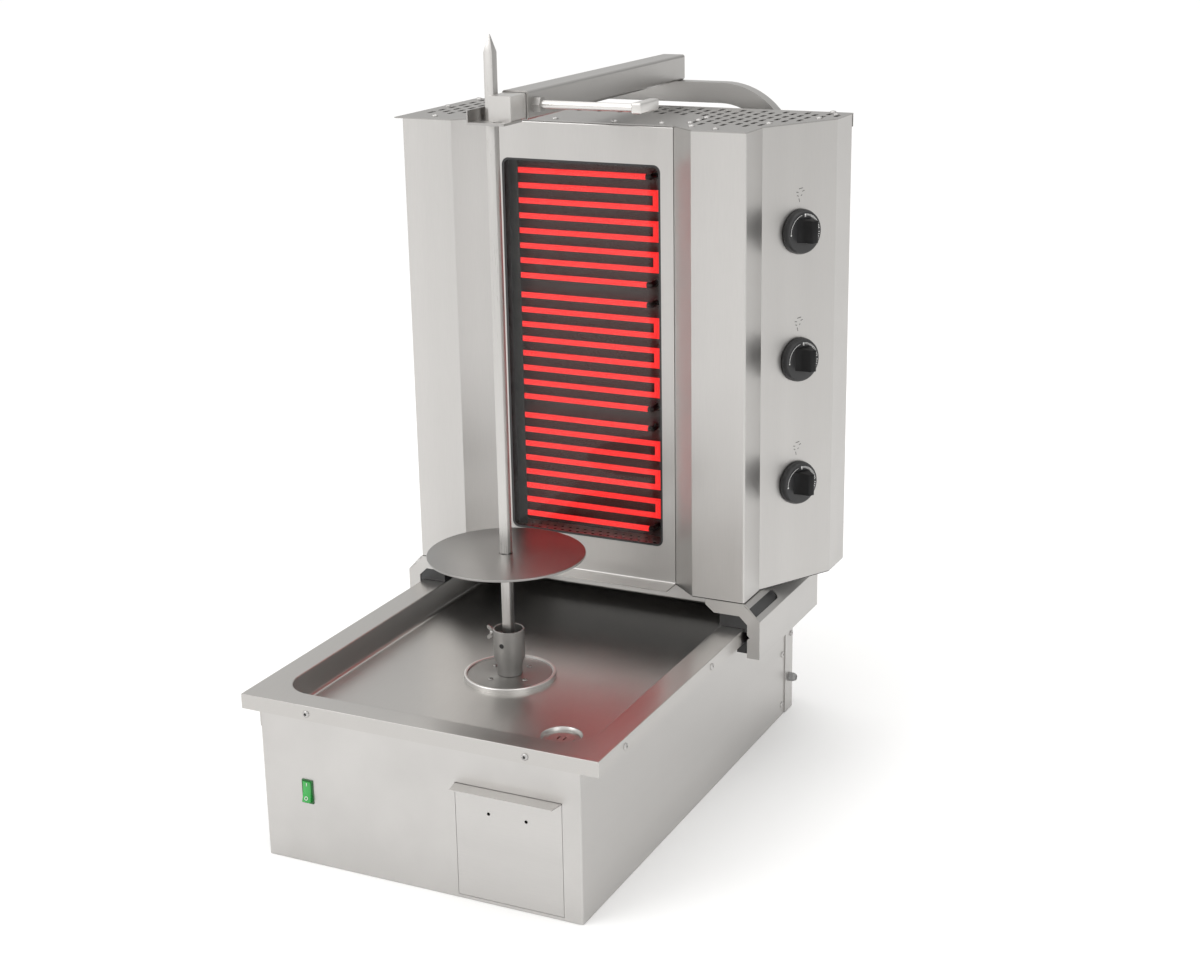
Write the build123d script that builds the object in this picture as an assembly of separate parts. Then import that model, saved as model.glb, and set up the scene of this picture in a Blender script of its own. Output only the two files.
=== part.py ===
from build123d import *
import os
from math import atan2, cos, degrees, radians, sin, tan

# Vertical kebab grill with an electric heating tower that slides on the rim of its drip pan.
# Millimetres. Z is up, X to the right and Y to the back, and the spindle turns on the Z axis.

# Sheet, fits and gaps
GAUGE = 1.5
BEND = 2.5
RUN_GAP = 0.4
SHAFT_GAP = 0.05
SEAM = 0.5

# Base box and drip pan
BASE_DEPTH = 708.0
SPINDLE_SETBACK = 247.0
PAN_TOP = 218.5
PAN_WIDTH = 500.0
RIM_OVERHANG = 25.5
LIP_DEPTH = 20.0
LIP_PROUD = 2.0
BASIN_RIM = 36.0
BASIN_LENGTH = 566.0
BASIN_DEPTH = 30.5
BASIN_CORNER = 28.0
BASIN_LEAN = 8.0
PLATE_TURN_UP = 14.0
REAR_WRAP = 32.0

# Grease drain
DRAIN_X = 146.4
DRAIN_Y = -140.1
DRAIN_RADIUS = 27.0
DRAIN_DROP = 6.0
SPOUT_RADIUS = 13.0
SPOUT_LENGTH = 26.0

# Grease drawer
DRAWER_LEFT = 55.0
DRAWER_WIDTH = 144.2
DRAWER_BOTTOM = 4.5
DRAWER_HEIGHT = 150.0
TRAY_LENGTH = 300.0
TRAY_HEIGHT = 95.0
TRAY_INSET = 8.0
GRIP_REACH = 20.0
GRIP_MITRE = 3.5
GRIP_HOLE_RADIUS = 2.3
GRIP_HOLE_DROP = 33.3
GRIP_HOLE_FROM_LEFT = 45.3
GRIP_HOLE_PITCH = 51.0
GUIDE_HEIGHT = 22.0
GUIDE_SHELF = 16.0

# Switch and cable inlet
SWITCH_X = -159.0
SWITCH_Z = 100.0
SWITCH_WIDTH = 15.5
SWITCH_HEIGHT = 32.0
SWITCH_BEZEL = 1.6
SWITCH_FRAME = 0.8
SWITCH_DEPTH = 24.0
ROCKER_PROUD = 3.4
ROCKER_TILT = 9.0
ROCKER_PIN = 1.2
GLAND_FROM_REAR = 12.0
GLAND_Z = 50.0
GLAND_RADIUS = 6.5
GLAND_THREAD = 5.5
GLAND_REACH = 10.0
GLAND_BORE = 3.6
TERMINAL_LENGTH = 48.0
TERMINAL_WIDTH = 22.0
TERMINAL_HEIGHT = 18.0

# Spindle drive
SHAFT_RADIUS = 8.0
FLANGE_RADIUS = 61.0
FLANGE_THICK = 4.0
FLANGE_RIM = 5.0
FLANGE_RIM_RISE = 2.4
HUB_RADIUS = 23.0
HUB_DEPTH = 38.0
BRACKET_DROP = 43.0
BRACKET_HALF = 34.0
BRACKET_FOOT = 24.0
BRACKET_LENGTH = 96.0
GEARBOX_WIDTH = 84.0
GEARBOX_LENGTH = 112.0
GEARBOX_HEIGHT = 42.0
GEARBOX_CORNER = 12.0
GEARBOX_OFFSET = 22.0
SHAFT_REACH = 30.0
MOTOR_RADIUS = 31.0
MOTOR_HEIGHT = 62.0
MOTOR_OFFSET = 40.0
FLANGE_SCREW_RING = 32.0
FLANGE_SCREW_HEAD = 0.8
BRACKET_SCREW_INSET = 9.0
BRACKET_SCREW_END = 16.0

# Skewer socket, skewer and meat disc
SOCKET_RADIUS = 20.5
SOCKET_WALL = 2.0
SOCKET_TOP = 255.5
SOCKET_FOOT_RADIUS = 15.5
SOCKET_TAPER = 16.0
SOCKET_CORE = 27.0
CROSS_HOLE_RADIUS = 3.2
CROSS_HOLE_Z = 237.0
WING_SCREW_Z = 245.5
WING_SCREW_RADIUS = 3.0
WING_SPAN = 20.0
WING_REACH = 10.0
WING_BOSS = 4.5
SKEWER_SIZE = 12.0
SKEWER_RISE = 102.5
SKEWER_POINT = 21.0
SKEWER_TIP = 0.6
SKEWER_LIFT_GAP = 0.5
DISC_TOP = 359.5
DISC_RADIUS = 103.0
DISC_THICK = 3.0
COLLAR_RADIUS = 17.0
COLLAR_HEIGHT = 26.0

# Heating tower
TOWER_LIFT = 36.2
TOWER_DEPTH = 229.3
TOWER_SETBACK = 30.0
FLOOR_INSET = 1.0
PANEL_WIDTH = 272.0
PANEL_RECESS = 33.3
CHAMFER_WIDTH = 38.7
CHEEK_DEPTH = 59.6
SPLAY_ANGLE = 29.3
SPLAY_LENGTH = 125.0
LEFT_PROUD = 12.0
LEFT_START = 25.3
TURN_IN = 15.0
COVER_LIP = 18.0
LEDGE_REACH = 31.5
RELIEF_RADIUS = 1.8

# Vents of the top cover
SLOT_LENGTH = 19.0
SLOT_WIDTH = 6.0
SLOT_PITCH_X = 15.5
SLOT_PITCH_Y = 29.0
FIELD_FRONT = 48.0
FIELD_REAR_GAP = 12.0
MIDDLE_FIELD_DEPTH = 86.0
FIELD_EDGE = 9.0

# Window and heaters
WINDOW_WIDTH = 234.0
WINDOW_HEIGHT = 525.0
WINDOW_SILL = 52.8
WINDOW_HEAD = 51.9
WINDOW_CORNER = 10.0
GLASS_THICK = 4.0
GLASS_BORDER = 9.0
TRAY_DEPTH = 34.0
LEDGE_HOLE_RADIUS = 2.75
LEDGE_HOLE_PITCH = 11.9
LEDGE_ROW_PITCH = 12.6
PAD_THICK = 22.0
ELEMENT_DIAMETER = 8.5
ELEMENT_DEPTH = 19.0
BARS = 8
ZONES = 3
ZONE_GAP = 27.5
FIRST_BAR_DROP = 19.8
LAST_BAR_RISE = 15.5
ELEMENT_RIGHT = 99.8
ELEMENT_LEFT = 109.5
COLD_END_X = 92.0
COLD_END_LENGTH = 52.0
RETAINER_WIDTH = 12.0
CLIP_HEIGHT = 16.0

# Knobs and regulators
KNOB_RADIUS = 30.0
KNOB_FACE_RADIUS = 27.0
KNOB_FACE = 11.0
KNOB_HEIGHT = 32.0
KNOB_GAP = 1.0
KNOB_RAISE = 2.5
GRIP_UP = 18.5
GRIP_DOWN = 12.5
GRIP_FOOT = 14.5
GRIP_WAIST = 8.0
GRIP_CREST = 4.7
STEM_RADIUS = 3.0
STEM_LENGTH = 16.0
BUSH_RADIUS = 5.0
REGULATOR_WIDTH = 44.0
REGULATOR_DEPTH = 30.0

# Sliding carriages
CARRIAGE_INNER = 56.0
SHOULDER_X = 1.8
LEG_PROUD = 23.0
SHOULDER_DROP = 22.5
LEG_BOTTOM = 178.0
STRIP_WIDTH = 18.0
NOTCH_DEPTH = 3.5
NOTCH_DROP = 11.0
FACET_SLOT_LENGTH = 86.0
FACET_SLOT_WIDTH = 14.6
GLIDE_LENGTH = 96.0
REAR_GLIDE_LENGTH = 60.0
GLIDE_HOOK = 10.0
GLIDE_HOOK_DEPTH = 14.0
GLIDE_GROOVE = 14.0

# Upper arm
ARCH_RISE = 29.6
ARCH_WIDTH = 28.0
ARCH_DEPTH = 22.0
ARCH_HALF = 214.0
ARCH_RADIUS = 108.0
ARCH_GAP = 8.0
ARCH_FOOT = 24.0
SPACER_RADIUS = 9.0
BOLT_RADIUS = 6.5
BOLT_HEAD = 5.0
ARM_SIZE = 35.0
ARM_WALL = 2.0
ARM_CORNER = 3.5
ARM_LEFT = 6.7
ARM_FRONT = 15.0
BAR_FRONT = -25.0
BAR_LENGTH = 130.0
BAR_CHAMFER = 0.8
BRACKET_GAUGE = 3.0
BRACKET_FRONT = -43.0
BRACKET_WALL_X = -11.0
BRACKET_WALL_RISE = 14.0
BRACKET_WALL_GAUGE = 1.5
BRACKET_BACK = 30.0
BRACKET_HOLE_RADIUS = 6.0
BRACKET_HOLE_X = 25.0
BRACKET_HOLE_Y = -32.0
ARM_TRAVEL = 12.0
SPIT_CLEARANCE = 0.7
LEVER_Y = 34.0
LEVER_RADIUS = 5.0
LEVER_REACH = 137.0
LEVER_GRIP = 54.0
LEVER_GRIP_THICK = 13.0
LEVER_GRIP_CHAMFER = 2.5
NUT_FLATS = 17.0
NUT_THICK = 10.0

# Screws
SCREW_RADIUS = 4.8
SCREW_HEAD = 2.6
LIP_SCREW_X = 153.3
LIP_SCREW_DROP = 11.0
SIDE_SCREW_FIRST = 71.0
SIDE_SCREW_PITCH = 266.0
WALL_SCREW_Z = 16.0
WALL_SCREW_PITCH = 80.0
WRAP_SCREW_Z = 118.6
SCREW_INSET = 10.0
COVER_SCREW_INSET = 9.0
COVER_SCREW_PITCH = 28.0
CHEESE_RADIUS = 4.0
CHEESE_HEIGHT = 2.0

# Worked out from the sizes above
PAN_HALF = PAN_WIDTH / 2
BASE_HALF = PAN_HALF - RIM_OVERHANG
FRONT_Y = -SPINDLE_SETBACK
REAR_Y = FRONT_Y + BASE_DEPTH
PAN_FRONT_Y = FRONT_Y - LIP_PROUD
PAN_REAR_Y = REAR_Y + LIP_PROUD
PAN_UNDER = PAN_TOP - GAUGE
LIP_BOTTOM = PAN_TOP - LIP_DEPTH
FLOOR_TOP = PAN_TOP - BASIN_DEPTH
FLOOR_UNDER = FLOOR_TOP - GAUGE
BASIN_HALF = PAN_HALF - BASIN_RIM
BASIN_FRONT_Y = PAN_FRONT_Y + BASIN_RIM - LIP_PROUD
BASIN_MID_Y = BASIN_FRONT_Y + BASIN_LENGTH / 2
DRAWER_RIGHT = DRAWER_LEFT + DRAWER_WIDTH
DRAWER_TOP = DRAWER_BOTTOM + DRAWER_HEIGHT
TRAY_BOTTOM = DRAWER_BOTTOM
BRACKET_Z = FLOOR_UNDER - BRACKET_DROP
TOWER_BOTTOM = PAN_TOP + TOWER_LIFT
PANEL_BOTTOM = TOWER_BOTTOM + GAUGE
SILL_Z = TOWER_BOTTOM + WINDOW_SILL
HEAD_Z = SILL_Z + WINDOW_HEIGHT
WINDOW_Z = (SILL_Z + HEAD_Z) / 2
TOWER_TOP = HEAD_Z + WINDOW_HEAD
PANEL_TOP = TOWER_TOP - GAUGE
TOWER_REAR_Y = REAR_Y - TOWER_SETBACK
WING_Y = TOWER_REAR_Y - TOWER_DEPTH
PANEL_Y = WING_Y + PANEL_RECESS
CHEEK_X = PAN_HALF + SEAM / 2
CHEEK_END_Y = WING_Y + CHEEK_DEPTH
PANEL_HALF = PANEL_WIDTH / 2
WING_X = PANEL_HALF + CHAMFER_WIDTH
SPLAY_X = CHEEK_X + SPLAY_LENGTH * sin(radians(SPLAY_ANGLE))
SPLAY_END_Y = CHEEK_END_Y + SPLAY_LENGTH * cos(radians(SPLAY_ANGLE))
LEFT_X = -CHEEK_X - LEFT_PROUD
LEFT_Y = WING_Y + LEFT_START
GLASS_Y = PANEL_Y + GAUGE
HEATER_Y = GLASS_Y + GLASS_THICK
ELEMENT_Y = HEATER_Y + ELEMENT_DEPTH
REFLECTOR_Y = HEATER_Y + TRAY_DEPTH
BARS_SPAN = WINDOW_HEIGHT - FIRST_BAR_DROP - LAST_BAR_RISE - (ZONES - 1) * ZONE_GAP
BAR_PITCH = BARS_SPAN / (ZONES * (BARS - 1))
ZONE_PITCH = (BARS - 1) * BAR_PITCH + ZONE_GAP
LEG_X = PAN_HALF + LEG_PROUD
STRIP_X = LEG_X - STRIP_WIDTH
ARCH_TOP = TOWER_TOP + ARCH_RISE
SKEWER_TOP = ARCH_TOP + SKEWER_RISE
ARM_BOTTOM = ARCH_TOP
ARM_AXIS_X = ARM_LEFT + ARM_SIZE / 2
ARM_AXIS_Z = ARM_BOTTOM + ARM_SIZE / 2
ARM_BORE = ARM_SIZE - 2 * ARM_WALL
BAR_SIZE = ARM_BORE - 2 * RUN_GAP
ARCH_Y = REAR_Y + ARCH_GAP


def block(x, y, z):
    """A box between two limits on each axis."""
    middle = Pos((x[0] + x[1]) / 2, (y[0] + y[1]) / 2, (z[0] + z[1]) / 2)
    return middle * Box(x[1] - x[0], y[1] - y[0], z[1] - z[0])


def along_z(face, low, high):
    """A face drawn in X and Y, drawn out from low to high."""
    return Pos(0, 0, low) * extrude(face, high - low, dir=(0, 0, 1))


def along_y(face, low, high):
    """A face drawn in X and Z, drawn out from low to high along Y."""
    return Pos(0, low, 0) * extrude(Plane.XZ * face, high - low, dir=(0, 1, 0))


def along_x(face, low, high):
    """A face drawn in Y and Z, drawn out from low to high along X."""
    return Pos(low, 0, 0) * extrude(Plane.YZ * face, high - low, dir=(1, 0, 0))


def polygon(*points):
    """The face inside a closed run of straight lines."""
    return make_face(Polyline(*points, close=True))


def folded(*points, radius=BEND):
    """Section of a folded sheet: the points run along one face, and the metal lies to their left."""
    path = FilletPolyline(*points, radius=radius)
    return make_face(offset(path, GAUGE, side=Side.LEFT, closed=True).edges())


def creased(*points):
    """The same section with sharp folds, for sheet that nothing shows."""
    path = Polyline(*points)
    return make_face(offset(path, GAUGE, side=Side.LEFT, kind=Kind.INTERSECTION, closed=True).edges())


def mirrored(part):
    """The same part on the other side."""
    return mirror(part, Plane.YZ)


def screw(place, radius=SCREW_RADIUS, height=SCREW_HEAD):
    """A low domed head standing on the plane of its place."""
    return place * extrude(RegularPolygon(radius, 6), height, taper=35)


def facing(x, y, z, direction):
    """The place at a point where a head or a stem stands out along a direction; its Y is up where it can be."""
    level = (1, 0, 0) if direction[2] else (-direction[1], direction[0], 0)
    return Plane(origin=(x, y, z), x_dir=level, z_dir=direction)


# Base box


def base_plate():
    half = BASE_HALF - GAUGE
    front = FRONT_Y + GAUGE
    rear = REAR_Y - GAUGE
    outline = chamfer(Rectangle(2 * half, rear - front).vertices(), BEND - GAUGE)
    tray = along_z(Pos(0, (front + rear) / 2) * outline, 0, PLATE_TURN_UP)
    hollow = block((-half + GAUGE, half - GAUGE), (front + GAUGE, rear - GAUGE), (GAUGE, PLATE_TURN_UP))
    doorway = block((DRAWER_LEFT, DRAWER_RIGHT), (front, front + GAUGE), (GAUGE, PLATE_TURN_UP))
    return tray - hollow - doorway


def casing_shelf():
    """The side wall's upper fold, which carries the pan's overhanging rim."""
    edge = PAN_HALF - GAUGE - SEAM
    section = creased(
        (BASE_HALF, LIP_BOTTOM - LIP_DEPTH),
        (BASE_HALF, LIP_BOTTOM),
        (edge, LIP_BOTTOM),
        (edge, PAN_UNDER),
    )
    return along_y(section, FRONT_Y, REAR_Y - BEND)


def base_casing():
    plan = folded(
        (-BASE_HALF, REAR_Y - BEND),
        (-BASE_HALF, FRONT_Y),
        (BASE_HALF, FRONT_Y),
        (BASE_HALF, REAR_Y - BEND),
    )
    wrap = along_z(plan, 0, PAN_UNDER)
    wide = (-PAN_HALF, PAN_HALF)
    above = block(wide, (FRONT_Y + BEND, REAR_Y), (LIP_BOTTOM - LIP_DEPTH, PAN_UNDER))
    shelf = casing_shelf()
    drawer_way = block(
        (DRAWER_LEFT - SEAM, DRAWER_RIGHT + SEAM),
        (FRONT_Y, FRONT_Y + GAUGE),
        (DRAWER_BOTTOM - SEAM, DRAWER_TOP + SEAM),
    )
    switch_way = block(
        (SWITCH_X - SWITCH_WIDTH / 2 + SWITCH_FRAME, SWITCH_X + SWITCH_WIDTH / 2 - SWITCH_FRAME),
        (FRONT_Y, FRONT_Y + GAUGE),
        (SWITCH_Z - SWITCH_HEIGHT / 2 + SWITCH_FRAME, SWITCH_Z + SWITCH_HEIGHT / 2 - SWITCH_FRAME),
    )
    return (wrap - above) + shelf + mirrored(shelf) - drawer_way - switch_way - gland_way()


def gland_place():
    return facing(BASE_HALF + GAUGE, REAR_Y - GLAND_FROM_REAR, GLAND_Z, (1, 0, 0))


def gland_way():
    return gland_place() * extrude(RegularPolygon(GLAND_THREAD, 8), 3 * GAUGE, both=True)


def rear_cover():
    half = BASE_HALF + GAUGE
    start = REAR_Y - REAR_WRAP
    plan = folded((half, start), (half, REAR_Y), (-half, REAR_Y), (-half, start))
    cover = along_z(plan, 0, LIP_BOTTOM - BEND)
    inside = block((-BASE_HALF, BASE_HALF), (REAR_Y - GAUGE, REAR_Y), (0, PAN_UNDER))
    return cover + inside - gland_way()


def narrowed(face, depth, inset):
    """A face drawn down from its own level, each side leaning in by the inset."""
    return Rot(180, 0, 0) * extrude(face, depth, taper=degrees(atan2(inset, depth)))


def basin(spread, top, floor):
    """The space inside the basin, which narrows to its floor, or the same spread by the sheet."""
    outline = Rectangle(2 * (BASIN_HALF + spread), BASIN_LENGTH + 2 * spread)
    for cut in (BASIN_CORNER * 0.6, BASIN_CORNER * 0.24):
        outline = chamfer(outline.vertices(), cut)
    return Pos(0, BASIN_MID_Y, top) * narrowed(outline, top - floor, BASIN_LEAN)


def drain_well(spread):
    """The cone pressed into the floor round the drain, spread by the sheet for its outside."""
    low = -DRAIN_DROP - spread
    cone = narrowed(RegularPolygon(DRAIN_RADIUS + spread, 20), -low, -low)
    spout = Pos(0, 0, low) * extrude(RegularPolygon(SPOUT_RADIUS + spread, 20), spread - SPOUT_LENGTH)
    return Pos(DRAIN_X, DRAIN_Y, FLOOR_TOP) * (cone + spout)


def drip_pan():
    outer = block((-PAN_HALF, PAN_HALF), (PAN_FRONT_Y, PAN_REAR_Y), (LIP_BOTTOM, PAN_TOP))
    top_edges = outer.edges().filter_by(GeomType.LINE).group_by(Axis.Z)[-1]
    outer = fillet(top_edges, BEND)
    under = block(
        (-PAN_HALF + GAUGE, PAN_HALF - GAUGE),
        (PAN_FRONT_Y + GAUGE, PAN_REAR_Y - GAUGE),
        (LIP_BOTTOM, PAN_UNDER),
    )
    shell = basin(GAUGE, PAN_UNDER, FLOOR_UNDER)
    hollow = basin(0, PAN_TOP, FLOOR_TOP)
    pan = (outer - under) + shell + drain_well(GAUGE) - hollow - drain_well(0)
    return pan - along_z(hub_outline(), FLOOR_UNDER, FLOOR_TOP)


def side_screw_places():
    first = PAN_FRONT_Y + SIDE_SCREW_FIRST + LIP_PROUD
    return [first, first + SIDE_SCREW_PITCH]


def casing_screws():
    heads = []
    lip_z = PAN_TOP - LIP_SCREW_DROP
    for side in (-1, 1):
        heads.append(screw(facing(side * LIP_SCREW_X, PAN_FRONT_Y, lip_z, (0, -1, 0))))
        heads.append(screw(facing(side * LIP_SCREW_X, PAN_REAR_Y, lip_z, (0, 1, 0))))
        for y in side_screw_places():
            heads.append(screw(facing(side * PAN_HALF, y, lip_z, (side, 0, 0))))
        wall = side * BASE_HALF
        wrap = side * (BASE_HALF + GAUGE)
        for z in (WALL_SCREW_Z, WALL_SCREW_Z + WALL_SCREW_PITCH):
            heads.append(screw(facing(wall, REAR_Y - REAR_WRAP - SCREW_INSET, z, (side, 0, 0))))
        heads.append(screw(facing(wrap, REAR_Y - SCREW_INSET, WRAP_SCREW_Z, (side, 0, 0))))
    return Compound(children=heads)


# Drawer


def drawer_guides():
    left = DRAWER_LEFT + TRAY_INSET - RUN_GAP
    front = FRONT_Y + 2 * GAUGE + SEAM
    y = (front, front + TRAY_LENGTH)
    wall = block((left - GAUGE, left), y, (GAUGE, GUIDE_HEIGHT))
    shelf_top = TRAY_BOTTOM - RUN_GAP
    shelf = block((left - GAUGE, left + GUIDE_SHELF), y, (shelf_top - GAUGE, shelf_top))
    guide = wall + shelf
    middle = Plane.YZ.offset(DRAWER_LEFT + DRAWER_WIDTH / 2)
    return Compound(children=[guide, mirror(guide, middle)])


def drawer_front():
    front = FRONT_Y
    z = (DRAWER_BOTTOM, DRAWER_TOP)
    plate = block((DRAWER_LEFT, DRAWER_RIGHT), (front, front + GAUGE), z)
    lip_face = polygon(
        (DRAWER_LEFT, front + GAUGE),
        (DRAWER_LEFT, front),
        (DRAWER_LEFT + GRIP_MITRE, front - GRIP_REACH),
        (DRAWER_RIGHT - GRIP_MITRE, front - GRIP_REACH),
        (DRAWER_RIGHT, front),
        (DRAWER_RIGHT, front + GAUGE),
    )
    lip = along_z(lip_face, DRAWER_TOP - GAUGE, DRAWER_TOP)
    face = plate + lip
    for step in (0, 1):
        x = DRAWER_LEFT + GRIP_HOLE_FROM_LEFT + step * GRIP_HOLE_PITCH
        hole = extrude(RegularPolygon(GRIP_HOLE_RADIUS, 8), 2 * GAUGE, both=True)
        face -= facing(x, front, DRAWER_TOP - GRIP_HOLE_DROP, (0, -1, 0)) * hole
    return face


def drawer_tray():
    x = (DRAWER_LEFT + TRAY_INSET, DRAWER_RIGHT - TRAY_INSET)
    y = (FRONT_Y + GAUGE, FRONT_Y + GAUGE + TRAY_LENGTH)
    z = (TRAY_BOTTOM, TRAY_BOTTOM + TRAY_HEIGHT)
    body = block(x, y, z)
    upright = body.edges().filter_by(Axis.Z).group_by(Axis.Y)[-1]
    body = chamfer(upright, 2 * BEND)
    hollow = block((x[0] + GAUGE, x[1] - GAUGE), (y[0] + GAUGE, y[1] - GAUGE), (z[0] + GAUGE, z[1]))
    upright = hollow.edges().filter_by(Axis.Z).group_by(Axis.Y)[-1]
    return body - chamfer(upright, 2 * BEND - GAUGE / 2)


# Switch and inlet


def switch_housing():
    place = facing(SWITCH_X, FRONT_Y, SWITCH_Z, (0, -1, 0))
    bezel = Rectangle(SWITCH_WIDTH, SWITCH_HEIGHT)
    body = Rectangle(SWITCH_WIDTH - 2 * SWITCH_FRAME, SWITCH_HEIGHT - 2 * SWITCH_FRAME)
    hole = Rectangle(SWITCH_WIDTH - 4 * SWITCH_FRAME, SWITCH_HEIGHT - 4 * SWITCH_FRAME)
    solid = extrude(bezel, SWITCH_BEZEL) + extrude(body, -SWITCH_DEPTH)
    well = Pos(0, 0, SWITCH_BEZEL) * extrude(hole, -SWITCH_DEPTH * 0.6)
    pin_way = RegularPolygon(ROCKER_PIN + SHAFT_GAP, 12, major_radius=False)
    pin_way = Rot(0, 90, 0) * extrude(pin_way, SWITCH_WIDTH / 2 - SWITCH_FRAME, both=True)
    return place * (solid - well - pin_way)


def rocker():
    """The rocker with its shallow V face, turned about its own pin."""
    reach = SWITCH_BEZEL + ROCKER_PROUD
    half = SWITCH_HEIGHT / 2 - 2 * SWITCH_FRAME - 2 * RUN_GAP
    width = SWITCH_WIDTH - 4 * SWITCH_FRAME - 2 * RUN_GAP
    dip = ROCKER_PROUD * 0.6
    heel = half * 0.55
    side = polygon(
        (-half, 0),
        (-half, reach),
        (0, reach - dip),
        (half, reach),
        (half, 0),
        (heel, -SWITCH_DEPTH * 0.3),
        (-heel, -SWITCH_DEPTH * 0.3),
    )
    body = extrude(side, width / 2, both=True)
    body += Cylinder(ROCKER_PIN, SWITCH_WIDTH - 3 * SWITCH_FRAME)
    upright = Plane(origin=(SWITCH_X, FRONT_Y, SWITCH_Z), x_dir=(0, 0, 1), z_dir=(1, 0, 0))
    tilt = Rot(0, 0, -ROCKER_TILT)
    return upright * tilt * body


def terminal_block():
    x = BASE_HALF - 4 * GLAND_RADIUS
    y = REAR_Y - GLAND_FROM_REAR - TERMINAL_LENGTH - 3 * GLAND_RADIUS
    top = GAUGE + TERMINAL_HEIGHT
    body = block((x - TERMINAL_WIDTH, x), (y, y + TERMINAL_LENGTH), (GAUGE, top))
    gap = TERMINAL_LENGTH / 16
    for step in (0, 1, 2, 3):
        middle = y + (step + 0.5) * TERMINAL_LENGTH / 4
        step_x = (x - TERMINAL_WIDTH, x - 0.7 * TERMINAL_WIDTH)
        body -= block(step_x, (middle - gap, middle + gap), (top - 0.45 * TERMINAL_HEIGHT, top))
    return body


def cable_gland():
    """A hexagon body with a domed nut, bored for a cord."""
    collar = extrude(RegularPolygon(GLAND_RADIUS, 6), GLAND_REACH * 0.6)
    dome = Pos(0, 0, GLAND_REACH * 0.6) * extrude(RegularPolygon(GLAND_RADIUS, 8), GLAND_REACH * 0.4, taper=25)
    thread = extrude(RegularPolygon(GLAND_THREAD, 8), -GLAND_REACH)
    bore = extrude(RegularPolygon(GLAND_BORE, 8), 2 * GLAND_REACH, both=True)
    return gland_place() * (collar + dome + thread - bore)


# Spindle drive


def hub_outline():
    return RegularPolygon(HUB_RADIUS, 12)


def bearing_flange():
    """The spindle's bearing plate with its raised rim, and the hub that goes down through the pan."""
    rise = FLOOR_TOP + FLANGE_THICK
    plate = along_z(RegularPolygon(FLANGE_RADIUS, 48), FLOOR_TOP, rise)
    ring = RegularPolygon(FLANGE_RADIUS, 48) - RegularPolygon(FLANGE_RADIUS - FLANGE_RIM, 48)
    rim = along_z(ring, rise, rise + FLANGE_RIM_RISE)
    hub = along_z(hub_outline(), FLOOR_UNDER - HUB_DEPTH, FLOOR_TOP)
    bore = along_z(Circle(SHAFT_RADIUS + SHAFT_GAP), FLOOR_UNDER - HUB_DEPTH, rise)
    return plate + rim + hub - bore


def motor_bracket():
    foot = BRACKET_HALF + BRACKET_FOOT
    section = creased(
        (-foot, FLOOR_UNDER - GAUGE),
        (-BRACKET_HALF, FLOOR_UNDER - GAUGE),
        (-BRACKET_HALF, BRACKET_Z),
        (BRACKET_HALF, BRACKET_Z),
        (BRACKET_HALF, FLOOR_UNDER - GAUGE),
        (foot, FLOOR_UNDER - GAUGE),
    )
    hat = along_y(section, -BRACKET_LENGTH / 2, BRACKET_LENGTH / 2)
    way = along_z(RegularPolygon(SHAFT_RADIUS * 1.5, 8), BRACKET_Z, BRACKET_Z + GAUGE)
    return hat - way


def gearbox():
    y = GEARBOX_OFFSET
    top = BRACKET_Z
    outline = chamfer(Rectangle(GEARBOX_WIDTH, GEARBOX_LENGTH).vertices(), GEARBOX_CORNER)
    body = along_z(Pos(0, y) * outline, top - GEARBOX_HEIGHT, top)
    bore = along_z(Circle(SHAFT_RADIUS + SHAFT_GAP), top - SHAFT_REACH, top)
    return body - bore


def drive_motor():
    top = BRACKET_Z - GEARBOX_HEIGHT
    return along_z(Pos(0, MOTOR_OFFSET) * RegularPolygon(MOTOR_RADIUS, 16), top - MOTOR_HEIGHT, top)


def drive_screws():
    heads = []
    ring = FLOOR_TOP + FLANGE_THICK
    for place in PolarLocations(FLANGE_SCREW_RING, 4, start_angle=65):
        heads.append(Pos(0, 0, ring) * place * extrude(RegularPolygon(CHEESE_RADIUS, 8), FLANGE_SCREW_HEAD))
    web = BRACKET_Z + GAUGE
    for x in (-1, 1):
        for y in (-1, 1):
            spot = (x * (BRACKET_HALF - BRACKET_SCREW_INSET), y * (BRACKET_LENGTH / 2 - BRACKET_SCREW_END), web)
            heads.append(Pos(*spot) * extrude(RegularPolygon(CHEESE_RADIUS, 6), CHEESE_HEIGHT))
    return Compound(children=heads)


def socket_foot_z():
    return FLOOR_TOP + FLANGE_THICK + RUN_GAP


def drive_shaft():
    low = BRACKET_Z - SHAFT_REACH + RUN_GAP
    high = socket_foot_z()
    return Pos(0, 0, (low + high) / 2) * Cylinder(SHAFT_RADIUS, high - low)


def skewer_seat_z():
    return socket_foot_z() + SOCKET_TAPER


def sleeve_outline(radius):
    return RegularPolygon(radius, 32)


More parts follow.
